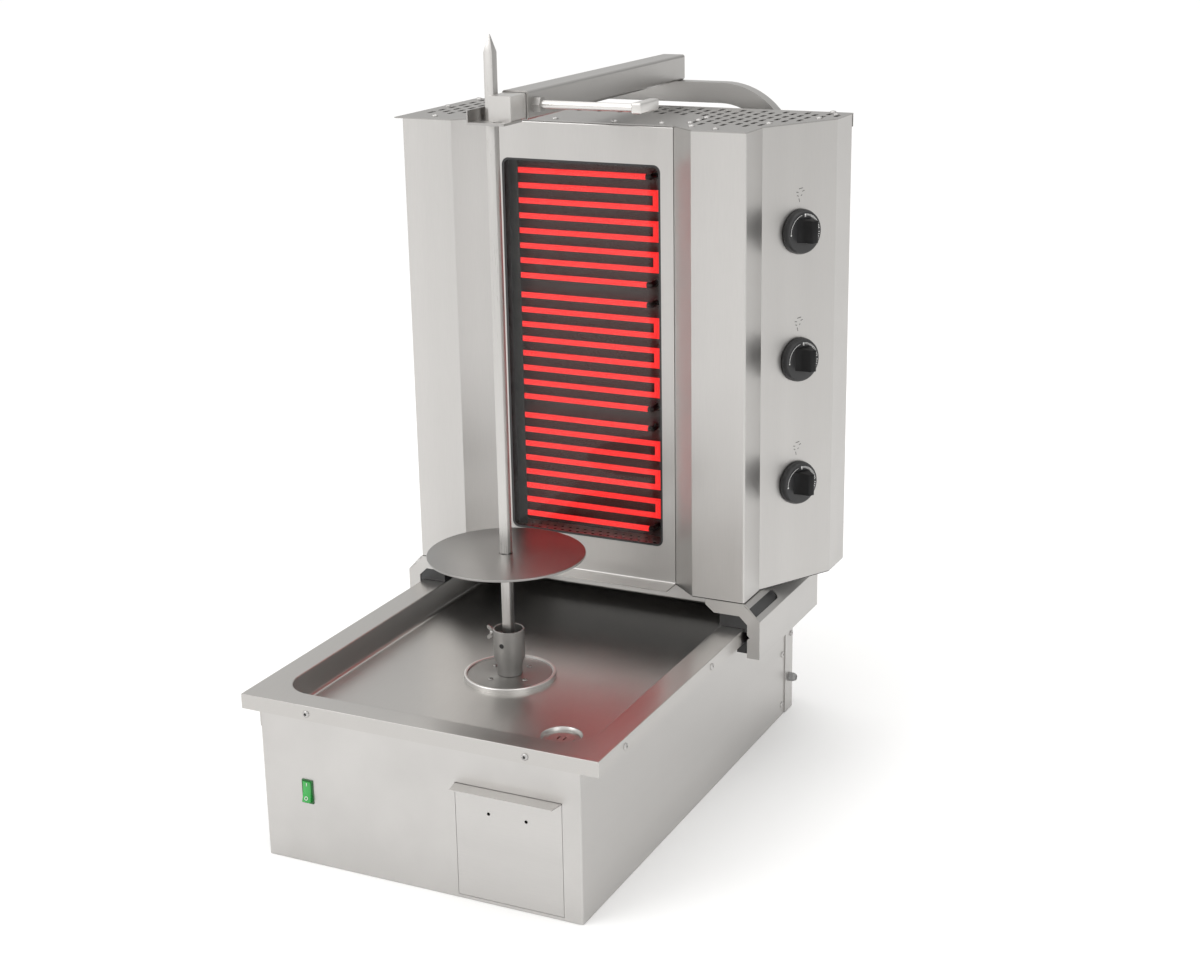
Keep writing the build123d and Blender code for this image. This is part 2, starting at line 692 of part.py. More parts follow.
def spindle_socket():
    """Sleeve with a square hole for the skewer in its core, on a foot that narrows to the shaft."""
    foot = socket_foot_z()
    waist = foot + SOCKET_TAPER
    core = waist + SOCKET_CORE
    lean = SOCKET_RADIUS - SOCKET_FOOT_RADIUS
    base = Pos(0, 0, waist) * narrowed(sleeve_outline(SOCKET_RADIUS), SOCKET_TAPER, lean)
    sleeve = along_z(sleeve_outline(SOCKET_RADIUS), waist, SOCKET_TOP)
    well = along_z(sleeve_outline(SOCKET_RADIUS - SOCKET_WALL), core, SOCKET_TOP)
    hole = SKEWER_SIZE + 2 * RUN_GAP
    square = along_z(Rectangle(hole, hole), skewer_seat_z(), core)
    wall_hole = extrude(RegularPolygon(CROSS_HOLE_RADIUS, 8), 2 * SOCKET_WALL, both=True)
    wall_hole = facing(0, -SOCKET_RADIUS, CROSS_HOLE_Z, (0, -1, 0)) * wall_hole
    thread = RegularPolygon(WING_SCREW_RADIUS + SHAFT_GAP, 12, major_radius=False)
    thread = extrude(thread, 2 * SOCKET_WALL, both=True)
    thread = facing(-SOCKET_RADIUS, 0, WING_SCREW_Z, (-1, 0, 0)) * thread
    return base + sleeve - well - square - wall_hole - thread


def wing_screw():
    tip = SKEWER_SIZE / 2 + RUN_GAP
    hub = SOCKET_RADIUS + 1.5
    end = hub + WING_REACH
    shank = Pos(0, 0, (tip + hub) / 2) * Cylinder(WING_SCREW_RADIUS, hub - tip)
    boss = Pos(0, 0, hub) * extrude(RegularPolygon(WING_BOSS, 8), WING_BOSS)
    wing = polygon(
        (0, hub),
        (3.5, hub),
        (WING_SPAN / 2, hub + 0.55 * WING_REACH),
        (WING_SPAN / 2 - 1.5, end),
        (WING_SPAN / 4, end - 1),
        (0, hub + 0.45 * WING_REACH),
    )
    wing = extrude(Plane.XZ * wing, 1, both=True)
    whole = shank + boss + wing + mirrored(wing)
    place = Plane(origin=(0, 0, WING_SCREW_Z), x_dir=(0, 0, 1), z_dir=(-1, 0, 0))
    return place * whole


# Skewer


def skewer():
    low = skewer_seat_z() + SKEWER_LIFT_GAP
    shoulder = SKEWER_TOP - SKEWER_POINT
    shank = Pos(0, 0, (low + shoulder) / 2) * Box(SKEWER_SIZE, SKEWER_SIZE, shoulder - low)
    ends = [Rectangle(SKEWER_SIZE, SKEWER_SIZE), Pos(0, 0, SKEWER_POINT) * Rectangle(SKEWER_TIP, SKEWER_TIP)]
    return shank + Pos(0, 0, shoulder) * loft(ends)


def meat_disc():
    outline = RegularPolygon(DISC_RADIUS, 72) - Rectangle(SKEWER_SIZE, SKEWER_SIZE)
    return along_z(outline, DISC_TOP - DISC_THICK, DISC_TOP)


def disc_collar():
    top = DISC_TOP - DISC_THICK
    bar = RegularPolygon(COLLAR_RADIUS, 6, major_radius=False) - Rectangle(SKEWER_SIZE, SKEWER_SIZE)
    ring = along_z(bar, top - COLLAR_HEIGHT, top)
    hole = extrude(RegularPolygon(WING_SCREW_RADIUS, 8), COLLAR_RADIUS)
    return ring - facing(0, SKEWER_SIZE / 2, top - COLLAR_HEIGHT / 2, (0, 1, 0)) * hole


def collar_screw():
    z = DISC_TOP - DISC_THICK - COLLAR_HEIGHT / 2
    start = SKEWER_SIZE / 2
    length = COLLAR_RADIUS + 2 - start
    shank = extrude(RegularPolygon(WING_SCREW_RADIUS, 8), length)
    head = Pos(0, 0, length) * extrude(RegularPolygon(CHEESE_RADIUS, 6), 2 * CHEESE_HEIGHT)
    return facing(0, start, z, (0, 1, 0)) * (shank + head)


# Carriages


def carriage_section():
    """Plate over the rim, sloping shoulder and leg, seen from the front."""
    shoulder = PAN_HALF + SHOULDER_X
    points = [
        (LEG_X, LEG_BOTTOM),
        (LEG_X, TOWER_BOTTOM - SHOULDER_DROP),
        (shoulder, TOWER_BOTTOM),
        (PAN_HALF - CARRIAGE_INNER, TOWER_BOTTOM),
    ]
    return folded(*points)


def carriage_end():
    """The turned-in strip that stiffens each end of the carriage."""
    shoulder = PAN_HALF + SHOULDER_X
    notch = PAN_TOP - NOTCH_DROP
    inner = PAN_HALF - CARRIAGE_INNER
    low = TOWER_BOTTOM - STRIP_WIDTH
    return polygon(
        (inner, TOWER_BOTTOM - GAUGE),
        (shoulder - GAUGE, TOWER_BOTTOM - GAUGE),
        (LEG_X - GAUGE, TOWER_BOTTOM - SHOULDER_DROP - GAUGE / 2),
        (LEG_X - GAUGE, LEG_BOTTOM),
        (STRIP_X, LEG_BOTTOM),
        (STRIP_X, notch - NOTCH_DEPTH),
        (STRIP_X + NOTCH_DEPTH, notch),
        (STRIP_X, notch + NOTCH_DEPTH),
        (STRIP_X, low - 11.0),
        (STRIP_X - 11.5, low),
        (inner + 12.5, low),
        (inner, low + 10.5),
    )


def carriage_right():
    body = along_y(carriage_section(), WING_Y, TOWER_REAR_Y)
    end = carriage_end()
    body += along_y(end, WING_Y, WING_Y + GAUGE)
    body += along_y(end, TOWER_REAR_Y - GAUGE, TOWER_REAR_Y)
    shoulder = PAN_HALF + SHOULDER_X
    middle = ((shoulder + LEG_X) / 2, WING_Y + FACET_SLOT_LENGTH / 2, TOWER_BOTTOM - SHOULDER_DROP / 2)
    normal = (SHOULDER_DROP, 0, LEG_X - shoulder)
    facet = Plane(origin=middle, x_dir=(0, 1, 0), z_dir=normal)
    slot = SlotOverall(FACET_SLOT_LENGTH, FACET_SLOT_WIDTH)
    start = Pos(-FACET_SLOT_LENGTH / 2) * Rectangle(FACET_SLOT_WIDTH, FACET_SLOT_WIDTH)
    keep = Pos(GAUGE) * (slot + start)
    window = Pos(GAUGE) * Rectangle(FACET_SLOT_LENGTH, FACET_SLOT_WIDTH)
    return body - facet * extrude(keep & window, 3 * GAUGE, both=True)


def glide_section():
    """The plastic block that rides on the rim, hooks under its lip and clears the lip's screws."""
    shoulder = PAN_HALF + SHOULDER_X
    rim = PAN_TOP + RUN_GAP
    side = PAN_HALF + RUN_GAP
    hook = LIP_BOTTOM - RUN_GAP
    groove = PAN_TOP - NOTCH_DROP
    return polygon(
        (BASIN_HALF + RUN_GAP, rim),
        (side, rim),
        (side, groove + GLIDE_GROOVE / 2),
        (STRIP_X + NOTCH_DEPTH, groove + GLIDE_GROOVE / 2),
        (STRIP_X + NOTCH_DEPTH, groove - GLIDE_GROOVE / 2),
        (side, groove - GLIDE_GROOVE / 2),
        (side, hook),
        (PAN_HALF - GLIDE_HOOK, hook),
        (PAN_HALF - GLIDE_HOOK, hook - GLIDE_HOOK_DEPTH),
        (LEG_X - GAUGE, hook - GLIDE_HOOK_DEPTH),
        (LEG_X - GAUGE, TOWER_BOTTOM - SHOULDER_DROP - GAUGE),
        (shoulder - GAUGE, TOWER_BOTTOM - GAUGE),
        (BASIN_HALF + RUN_GAP, TOWER_BOTTOM - GAUGE),
    )


def glide_blocks():
    section = glide_section()
    front = along_y(section, WING_Y + GAUGE, WING_Y + GAUGE + GLIDE_LENGTH)
    rear = along_y(section, TOWER_REAR_Y - GAUGE - REAR_GLIDE_LENGTH, TOWER_REAR_Y - GAUGE)
    return Compound(children=[front, rear, mirrored(front), mirrored(rear)])


# Tower casing


def right_outline():
    """Outer corners of the tower's right half, from the front panel to the rear."""
    return [
        (PANEL_HALF, PANEL_Y),
        (WING_X, WING_Y),
        (CHEEK_X, WING_Y),
        (CHEEK_X, CHEEK_END_Y),
        (SPLAY_X, SPLAY_END_Y),
        (SPLAY_X, TOWER_REAR_Y),
    ]


def tower_floor():
    outline = polygon(
        *right_outline(),
        (LEFT_X, TOWER_REAR_Y),
        (LEFT_X, LEFT_Y),
        (-CHEEK_X, LEFT_Y),
        (-CHEEK_X, WING_Y),
        (-WING_X, WING_Y),
        (-PANEL_HALF, PANEL_Y),
    )
    inner = offset(outline, -FLOOR_INSET, kind=Kind.INTERSECTION)
    recess = block((-PANEL_HALF, PANEL_HALF), (PANEL_Y, PANEL_Y + GAUGE), (TOWER_BOTTOM, PANEL_BOTTOM))
    return along_z(inner, TOWER_BOTTOM, PANEL_BOTTOM) - recess


def front_panel():
    section = folded(
        (PANEL_Y + TURN_IN, PANEL_TOP),
        (PANEL_Y, PANEL_TOP),
        (PANEL_Y, PANEL_BOTTOM),
        (PANEL_Y - LEDGE_REACH, PANEL_BOTTOM),
    )
    half = PANEL_HALF - SEAM
    sheet = along_x(section, -half, half)
    window = Pos(0, WINDOW_Z) * RectangleRounded(WINDOW_WIDTH, WINDOW_HEIGHT, WINDOW_CORNER)
    return sheet - along_y(window, PANEL_Y - GAUGE, PANEL_Y + 2 * GAUGE)


def wing_right():
    end = CHEEK_END_Y - GAUGE / tan(radians(SPLAY_ANGLE)) - 2 * SEAM
    plan = folded(
        (PANEL_HALF, PANEL_Y + TURN_IN),
        (PANEL_HALF, PANEL_Y),
        (WING_X, WING_Y),
        (CHEEK_X, WING_Y),
        (CHEEK_X, end),
    )
    return along_z(plan, PANEL_BOTTOM, PANEL_TOP)


def wing_left():
    plan = folded(
        (PANEL_HALF, PANEL_Y + TURN_IN),
        (PANEL_HALF, PANEL_Y),
        (WING_X, WING_Y),
        (CHEEK_X, WING_Y),
        (CHEEK_X, CHEEK_END_Y),
    )
    return mirrored(along_z(plan, PANEL_BOTTOM, PANEL_TOP))


def left_side_panel():
    plan = creased(
        (LEFT_X + TURN_IN, TOWER_REAR_Y),
        (LEFT_X, TOWER_REAR_Y),
        (LEFT_X, LEFT_Y),
        (-CHEEK_X, LEFT_Y),
    )
    return along_z(plan, PANEL_BOTTOM, PANEL_TOP)


def splay_place(along, z):
    """A place on the control panel, that far from its front edge, looking straight out of it."""
    turn = radians(SPLAY_ANGLE)
    x = CHEEK_X + along * sin(turn)
    y = CHEEK_END_Y + along * cos(turn)
    return Plane(origin=(x, y, z), x_dir=(sin(turn), cos(turn), 0), z_dir=(cos(turn), -sin(turn), 0))


def control_panel():
    inner = CHEEK_X - GAUGE
    start = CHEEK_END_Y - GAUGE / tan(radians(SPLAY_ANGLE))
    plan = folded(
        (inner, start - TURN_IN),
        (inner, start),
        (SPLAY_X, SPLAY_END_Y),
        (SPLAY_X, TOWER_REAR_Y),
        (SPLAY_X - TURN_IN, TOWER_REAR_Y),
    )
    panel = along_z(plan, PANEL_BOTTOM, PANEL_TOP)
    bush_hole = extrude(RegularPolygon(BUSH_RADIUS, 6), 3 * GAUGE, both=True)
    for z in knob_heights():
        panel -= splay_place(SPLAY_LENGTH / 2, z) * bush_hole
    return panel


def tower_rear_panel():
    return block(
        (LEFT_X + GAUGE, SPLAY_X - GAUGE),
        (TOWER_REAR_Y, TOWER_REAR_Y + GAUGE),
        (TOWER_BOTTOM, PANEL_TOP),
    )


def slot_rows(x):
    """Where one column of vents starts and how many it holds: the middle band is short."""
    inside = abs(x) < PANEL_HALF
    rear = TOWER_REAR_Y - FIELD_REAR_GAP
    front = rear - MIDDLE_FIELD_DEPTH if inside else WING_Y + FIELD_FRONT
    return front, rear


def splay_limit(x):
    """The cover's front edge above the control panel."""
    beyond = x + FIELD_EDGE - CHEEK_X
    return CHEEK_END_Y + beyond / tan(radians(SPLAY_ANGLE)) + FIELD_EDGE


def slot_centres():
    """Staggered vents: each column stands half a step behind or before the next."""
    columns = int((SPLAY_X - FIELD_EDGE) / SLOT_PITCH_X)
    centres = []
    for column in range(-columns, columns + 1):
        x = (column + 0.5) * SLOT_PITCH_X
        if x < LEFT_X + 2 * FIELD_EDGE or x > SPLAY_X - FIELD_EDGE:
            continue
        front, rear = slot_rows(x)
        front = max(front, splay_limit(x))
        y = rear - SLOT_LENGTH / 2 - (column % 2) * SLOT_PITCH_Y / 2
        while y - SLOT_LENGTH / 2 > front:
            centres.append((x, y))
            y -= SLOT_PITCH_Y
    return centres


def top_cover():
    outline = polygon(
        *right_outline()[:-1],
        (SPLAY_X, TOWER_REAR_Y + 2 * GAUGE),
        (LEFT_X, TOWER_REAR_Y + 2 * GAUGE),
        (LEFT_X, WING_Y),
        (-WING_X, WING_Y),
        (-PANEL_HALF, PANEL_Y),
    )
    slots = [Pos(x, y) * Rectangle(SLOT_WIDTH, SLOT_LENGTH) for x, y in slot_centres()]
    bends = ((PANEL_HALF, PANEL_Y), (WING_X, WING_Y))
    corners = [Pos(side * x, y) * RegularPolygon(RELIEF_RADIUS, 8) for x, y in bends for side in (-1, 1)]
    sheet = along_z(outline - slots - corners, PANEL_TOP, TOWER_TOP)
    lip = block(
        (LEFT_X, SPLAY_X),
        (TOWER_REAR_Y + GAUGE, TOWER_REAR_Y + 2 * GAUGE),
        (TOWER_TOP - COVER_LIP, TOWER_TOP),
    )
    return sheet + lip


def cover_screw_places():
    """Screws along the edges of the cover and over the regulators."""
    inset = COVER_SCREW_INSET
    row_x = PANEL_HALF + inset
    row_y = PANEL_Y + PANEL_RECESS
    near = [(side * share * PANEL_HALF, PANEL_Y + 2 * inset) for share in (0.32, 0.82) for side in (-1, 1)]
    row = [(row_x, row_y + step * COVER_SCREW_PITCH) for step in range(3)]
    wing = [
        (0.64 * CHEEK_X, WING_Y + 4 * inset),
        (0.8 * CHEEK_X, WING_Y + 2.2 * inset),
        (-0.855 * CHEEK_X, WING_Y + 2.9 * inset),
    ]
    edge = [
        (CHEEK_X - 0.6 * inset, CHEEK_END_Y + 3.6 * inset),
        (SPLAY_X - 2.6 * inset, SPLAY_END_Y - 0.7 * inset),
        (SPLAY_X - 1.7 * inset, SPLAY_END_Y + 4.2 * inset),
    ]
    rear = [
        (LEFT_X + inset, TOWER_REAR_Y - inset),
        (LEFT_X + inset, TOWER_REAR_Y - 11 * inset),
        (SPLAY_X - 3 * inset, TOWER_REAR_Y - GAUGE),
    ]
    return near + row + wing + edge + rear


def cover_screws():
    return Compound(children=[screw(facing(x, y, TOWER_TOP, (0, 0, 1))) for x, y in cover_screw_places()])


# Window and heaters


def window_glass():
    border = 2 * GLASS_BORDER
    face = Pos(0, WINDOW_Z) * Rectangle(WINDOW_WIDTH + border, WINDOW_HEIGHT + border)
    return along_y(face, GLASS_Y, GLASS_Y + GLASS_THICK)


def ledge_holes():
    """Two staggered rows of holes through the heater tray's floor."""
    count = int(WINDOW_WIDTH / LEDGE_HOLE_PITCH) - 1
    holes = []
    for row in (0, 1):
        y = HEATER_Y + 9.0 + row * LEDGE_ROW_PITCH
        for step in range(count):
            x = (step - count / 2 + 0.25 + 0.5 * row) * LEDGE_HOLE_PITCH
            spot = Pos(x, y, SILL_Z - 2 * GAUGE)
            holes.append(spot * extrude(RegularPolygon(LEDGE_HOLE_RADIUS, 4), 3 * GAUGE))
    return holes


def cold_end_holes(start, depth):
    """Holes round the heaters' connection ends, drilled back from one plane."""
    outline = RegularPolygon(ELEMENT_DIAMETER / 2 + SEAM, 6, major_radius=False)
    holes = []
    for top in zone_tops():
        for bar in (0, BARS - 1):
            spot = facing(COLD_END_X, start, top - bar * BAR_PITCH, (0, 1, 0))
            holes.append(spot * extrude(outline, depth))
    return holes


def heater_tray():
    """The frame round the heaters: a brim that holds the glass, four walls and a perforated ledge."""
    half = WINDOW_WIDTH / 2 + GAUGE
    flange = half + GLASS_BORDER - GAUGE
    z = (SILL_Z - GAUGE, HEAD_Z + GAUGE)
    brim = block(
        (-flange, flange),
        (HEATER_Y, HEATER_Y + GAUGE),
        (z[0] - GLASS_BORDER + GAUGE, z[1] + GLASS_BORDER - GAUGE),
    )
    shell = block((-half, half), (HEATER_Y, REFLECTOR_Y), z)
    hollow = block((-half + GAUGE, half - GAUGE), (HEATER_Y, REFLECTOR_Y), (SILL_Z, HEAD_Z))
    return brim + shell - hollow - ledge_holes()


def reflector_plate():
    half = WINDOW_WIDTH / 2 + GAUGE
    y = (REFLECTOR_Y, REFLECTOR_Y + GAUGE)
    return block((-half, half), y, (SILL_Z - GAUGE, HEAD_Z + GAUGE)) - cold_end_holes(REFLECTOR_Y, GAUGE)


def insulation_pad():
    half = WINDOW_WIDTH / 2
    y = REFLECTOR_Y + GAUGE
    return block((-half, half), (y, y + PAD_THICK), (SILL_Z, HEAD_Z)) - cold_end_holes(y, PAD_THICK)


def element_retainer():
    """The upright strip that covers the elements' left bends."""
    edge = -WINDOW_WIDTH / 2
    y = ELEMENT_Y - ELEMENT_DIAMETER / 2 - SEAM
    section = folded((edge + RETAINER_WIDTH, y), (edge, y), (edge, HEATER_Y + GAUGE), radius=SEAM)
    return along_z(section, SILL_Z, HEAD_Z)


def window_clips():
    """Small angles that press the heater tray and the glass against the front panel."""
    edge = WINDOW_WIDTH / 2 + GLASS_BORDER
    clips = []
    for share in (0.15, 0.5, 0.85):
        z = SILL_Z + share * WINDOW_HEIGHT
        for side in (-1, 1):
            back = HEATER_Y + 2 * GAUGE
            tall = (z - CLIP_HEIGHT / 2, z + CLIP_HEIGHT / 2)
            foot = block((edge, edge + 2 * GAUGE), (GLASS_Y, back), tall)
            tab = block((edge - GLASS_BORDER / 2, edge), (back - GAUGE, back), tall)
            clip = foot + tab
            clips.append(clip if side > 0 else mirrored(clip))
    return Compound(children=clips)


def zone_tops():
    """Height of the first bar of each heating zone, from the top zone down."""
    return [HEAD_Z - FIRST_BAR_DROP - zone * ZONE_PITCH for zone in range(ZONES)]


def knob_heights():
    middle = (BARS - 1) / 2 * BAR_PITCH
    return [top - middle + KNOB_RAISE for top in zone_tops()]


def heating_element(top):
    """One rod bent back and forth in the window, with both ends turned to the back."""
    rear = ELEMENT_Y + COLD_END_LENGTH
    points = [(COLD_END_X, rear, top)]
    for bar in range(BARS):
        z = top - bar * BAR_PITCH
        right = COLD_END_X if bar in (0, BARS - 1) else ELEMENT_RIGHT
        ends = [(right, ELEMENT_Y, z), (-ELEMENT_LEFT, ELEMENT_Y, z)]
        points += ends if bar % 2 == 0 else ends[::-1]
    points.append((COLD_END_X, rear, top - (BARS - 1) * BAR_PITCH))
    path = Polyline(*points)
    start = Plane(origin=points[0], z_dir=(0, -1, 0))
    rod = RegularPolygon(ELEMENT_DIAMETER / 2, 8)
    return sweep(start * rod, path, transition=Transition.RIGHT)


# Regulators and knobs


def regulators():
    bodies = []
    for z in knob_heights():
        place = splay_place(SPLAY_LENGTH / 2, z)
        body = Pos(0, 0, -GAUGE - REGULATOR_DEPTH / 2) * Box(REGULATOR_WIDTH, REGULATOR_WIDTH, REGULATOR_DEPTH)
        bush = Pos(0, 0, -GAUGE) * extrude(RegularPolygon(BUSH_RADIUS, 6), GAUGE + KNOB_GAP - RUN_GAP)
        socket = RegularPolygon(STEM_RADIUS + SHAFT_GAP, 12, major_radius=False)
        bore = Pos(0, 0, KNOB_GAP - STEM_LENGTH - RUN_GAP) * extrude(socket, STEM_LENGTH)
        bodies.append(place * (body + bush - bore))
    return Compound(children=bodies)


def knob(z):
    depth = KNOB_FACE - KNOB_GAP
    draft = degrees(atan2(KNOB_RADIUS - KNOB_FACE_RADIUS, depth))
    skirt = Pos(0, 0, KNOB_GAP) * extrude(RegularPolygon(KNOB_RADIUS, 30), depth, taper=draft)
    waist = (KNOB_FACE + KNOB_HEIGHT) / 2 - 1
    section = polygon(
        (-GRIP_FOOT, KNOB_FACE - 1),
        (-GRIP_FOOT, KNOB_FACE),
        (-GRIP_WAIST, waist),
        (-GRIP_CREST, KNOB_HEIGHT),
        (GRIP_CREST, KNOB_HEIGHT),
        (GRIP_WAIST, waist),
        (GRIP_FOOT, KNOB_FACE),
        (GRIP_FOOT, KNOB_FACE - 1),
    )
    grip = along_y(section, -GRIP_DOWN, GRIP_UP)
    stem = Pos(0, 0, KNOB_GAP - STEM_LENGTH / 2) * Cylinder(STEM_RADIUS, STEM_LENGTH)
    return splay_place(SPLAY_LENGTH / 2, z) * (skirt + grip + stem)


# Support frame and arm


def arch_plate(width, start):
    """Front view of the arch between its outer edge and a line that far inside it."""
    outer = ARCH_HALF - start
    top = ARCH_TOP - start
    radius = ARCH_RADIUS - start
    line = FilletPolyline(
        (-outer, ARCH_FOOT),
        (-outer, top),
        (outer, top),
        (outer, ARCH_FOOT),
        radius=radius,
    )
    return make_face(offset(line, width, side=Side.RIGHT, closed=True).edges())


def rear_frame():
    plate = along_y(arch_plate(ARCH_WIDTH, 0), ARCH_Y, ARCH_Y + GAUGE)
    outer_rim = along_y(arch_plate(GAUGE, 0), ARCH_Y, ARCH_Y + ARCH_DEPTH)
    inner_rim = along_y(arch_plate(GAUGE, ARCH_WIDTH - GAUGE), ARCH_Y, ARCH_Y + ARCH_DEPTH)
    return plate + outer_rim + inner_rim


def frame_bolt_places():
    x = ARCH_HALF - ARCH_WIDTH / 2
    return [(side * x, z) for side in (-1, 1) for z in (ARCH_FOOT + 26.0, LIP_BOTTOM - 26.0)]


def frame_spacers():
    rings = []
    for x, z in frame_bolt_places():
        ring = extrude(RegularPolygon(SPACER_RADIUS, 6), ARCH_GAP)
        rings.append(facing(x, REAR_Y, z, (0, 1, 0)) * ring)
    return Compound(children=rings)


def frame_bolts():
    heads = []
    for x, z in frame_bolt_places():
        head = extrude(RegularPolygon(BOLT_RADIUS, 6), BOLT_HEAD)
        heads.append(facing(x, ARCH_Y + GAUGE, z, (0, 1, 0)) * head)
    return Compound(children=heads)


def arm_tube():
    outer = Pos(ARM_AXIS_X, ARM_AXIS_Z) * RectangleRounded(ARM_SIZE, ARM_SIZE, ARM_CORNER)
    inner = Pos(ARM_AXIS_X, ARM_AXIS_Z) * Rectangle(ARM_BORE, ARM_BORE)
    tube = along_y(outer - inner, ARM_FRONT, ARCH_Y + ARCH_DEPTH)
    wall = facing(ARM_LEFT + ARM_SIZE, LEVER_Y, ARM_AXIS_Z, (1, 0, 0))
    return tube - wall * extrude(RegularPolygon(LEVER_RADIUS + RUN_GAP, 8, major_radius=False), -2 * ARM_WALL)


def clamp_nut():
    face = ARM_LEFT + ARM_SIZE
    nut = extrude(RegularPolygon(NUT_FLATS / 2, 6, major_radius=False), NUT_THICK)
    bore = Cylinder(LEVER_RADIUS + SHAFT_GAP, 4 * NUT_THICK)
    return facing(face, LEVER_Y, ARM_AXIS_Z, (1, 0, 0)) * (nut - bore)


def clamp_lever():
    """Rod that presses the bar, and the rounded grip across its outer end."""
    tip = ARM_AXIS_X + BAR_SIZE / 2 + RUN_GAP
    grip_x = ARM_LEFT + ARM_SIZE + LEVER_REACH
    rod = Cylinder(LEVER_RADIUS, grip_x - tip, align=(Align.CENTER, Align.CENTER, Align.MIN))
    rod = facing(tip, LEVER_Y, ARM_AXIS_Z, (1, 0, 0)) * rod
    half = LEVER_GRIP_THICK / 2
    grip = block(
        (grip_x - half, grip_x + half),
        (LEVER_Y - half, LEVER_Y - half + LEVER_GRIP),
        (ARM_AXIS_Z - half, ARM_AXIS_Z + half),
    )
    grip = chamfer(grip.edges().filter_by(Axis.Y), LEVER_GRIP_CHAMFER)
    return rod + grip


def arm_bar():
    outline = chamfer(Rectangle(BAR_SIZE, BAR_SIZE).vertices(), BAR_CHAMFER)
    return along_y(Pos(ARM_AXIS_X, ARM_AXIS_Z) * outline, BAR_FRONT, BAR_FRONT + BAR_LENGTH)


def spit_bracket():
    """J-shaped sheet under the bar: the skewer stands between its wall and the bar."""
    top = ARM_AXIS_Z - BAR_SIZE / 2
    low = top - BRACKET_GAUGE
    bar_right = ARM_AXIS_X + BAR_SIZE / 2
    wall_inner = BRACKET_WALL_X + BRACKET_WALL_GAUGE
    swing = SKEWER_SIZE / 2 * 2**0.5 + SPIT_CLEARANCE
    stop = ARM_FRONT - ARM_TRAVEL - RUN_GAP
    plate = block((BRACKET_WALL_X, bar_right), (BRACKET_FRONT, stop), (low, top))
    plate += block((BRACKET_WALL_X, ARM_LEFT - RUN_GAP), (stop, BRACKET_BACK), (low, top))
    wall = block((BRACKET_WALL_X, wall_inner), (BRACKET_FRONT, BRACKET_BACK), (low, top + BRACKET_WALL_RISE))
    reach = swing + ARM_TRAVEL
    slot = block((wall_inner, swing), (-reach, reach), (low, top))
    hole = along_z(Pos(BRACKET_HOLE_X, BRACKET_HOLE_Y) * RegularPolygon(BRACKET_HOLE_RADIUS, 12), low, top)
    return plate + wall - slot - hole


def export_all():
    os.makedirs("parts", exist_ok=True)
    makers = (
        base_plate, base_casing, rear_cover, drip_pan, casing_screws,
        drawer_guides, drawer_front, drawer_tray, switch_housing, rocker, terminal_block, cable_gland,
        bearing_flange, motor_bracket, gearbox, drive_motor, drive_screws,
        drive_shaft, spindle_socket, wing_screw, skewer, meat_disc, disc_collar, collar_screw,
        carriage_right, glide_blocks, tower_floor, front_panel, wing_right, wing_left,
        left_side_panel, control_panel, tower_rear_panel, top_cover, cover_screws,
        window_glass, heater_tray, reflector_plate, insulation_pad, element_retainer, window_clips, regulators,
        rear_frame, frame_spacers, frame_bolts, arm_tube, clamp_nut, clamp_lever, arm_bar, spit_bracket,
    )
    for maker in makers:
        export_step(maker(), f"parts/{maker.__name__}.step")
    export_step(mirrored(carriage_right()), "parts/carriage_left.step")
    for name, top, z in zip(("upper", "middle", "lower"), zone_tops(), knob_heights()):
        export_step(heating_element(top), f"parts/element_{name}.step")
        export_step(knob(z), f"parts/knob_{name}.step")


export_all()
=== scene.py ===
"""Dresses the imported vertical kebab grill: finer pieces, finishes, camera, floor and studio light."""

from __future__ import annotations

import logging
from dataclasses import dataclass
from enum import Enum
from functools import cache
from math import atan, cos, pi, radians, sin, tan
from typing import Iterable, Mapping, Sequence

import bmesh
import bpy
from bmesh.types import BMEdge, BMesh, BMFace, BMVert
from bpy.types import ID, Material, Node, NodeSocket, NodeTree, Object
from mathutils import Matrix, Vector


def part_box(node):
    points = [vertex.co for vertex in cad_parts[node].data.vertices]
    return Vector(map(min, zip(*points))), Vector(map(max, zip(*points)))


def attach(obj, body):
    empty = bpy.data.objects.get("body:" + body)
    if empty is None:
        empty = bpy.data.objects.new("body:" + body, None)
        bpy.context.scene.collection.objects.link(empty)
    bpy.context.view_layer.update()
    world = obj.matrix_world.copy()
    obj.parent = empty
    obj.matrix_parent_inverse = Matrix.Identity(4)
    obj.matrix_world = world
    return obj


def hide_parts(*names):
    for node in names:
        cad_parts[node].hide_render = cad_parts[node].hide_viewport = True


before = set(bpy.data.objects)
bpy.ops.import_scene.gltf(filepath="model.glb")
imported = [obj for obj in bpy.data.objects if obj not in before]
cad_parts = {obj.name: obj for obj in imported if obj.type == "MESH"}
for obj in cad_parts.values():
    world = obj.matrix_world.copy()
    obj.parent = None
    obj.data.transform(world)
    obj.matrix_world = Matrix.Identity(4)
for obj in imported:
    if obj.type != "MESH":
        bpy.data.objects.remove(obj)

logging.basicConfig(level=logging.INFO, format="%(message)s")
LOG = logging.getLogger("kebab_grill")

Pair = tuple[float, float]
Triple = tuple[float, float, float]

MM = 0.001
MERGE = 1e-6
UP = Vector((0, 0, 1))
ZONES = ("upper", "middle", "lower")
CHEEK_X = 250.25 * MM
SPLAY = radians(29.3)


class Along(Enum):
    """The way in which a sheet was brushed or a bar was drawn, as the noise's stretch on each axis."""

    X = (0.03, 1.0, 1.0)
    Y = (1.0, 0.03, 1.0)
    Z = (1.0, 1.0, 0.03)


# Nodes


def fix(node: Node, values: Mapping[str | int, object]) -> None:
    """Set a node's inputs."""
    for label, value in values.items():
        node.inputs[label].default_value = value


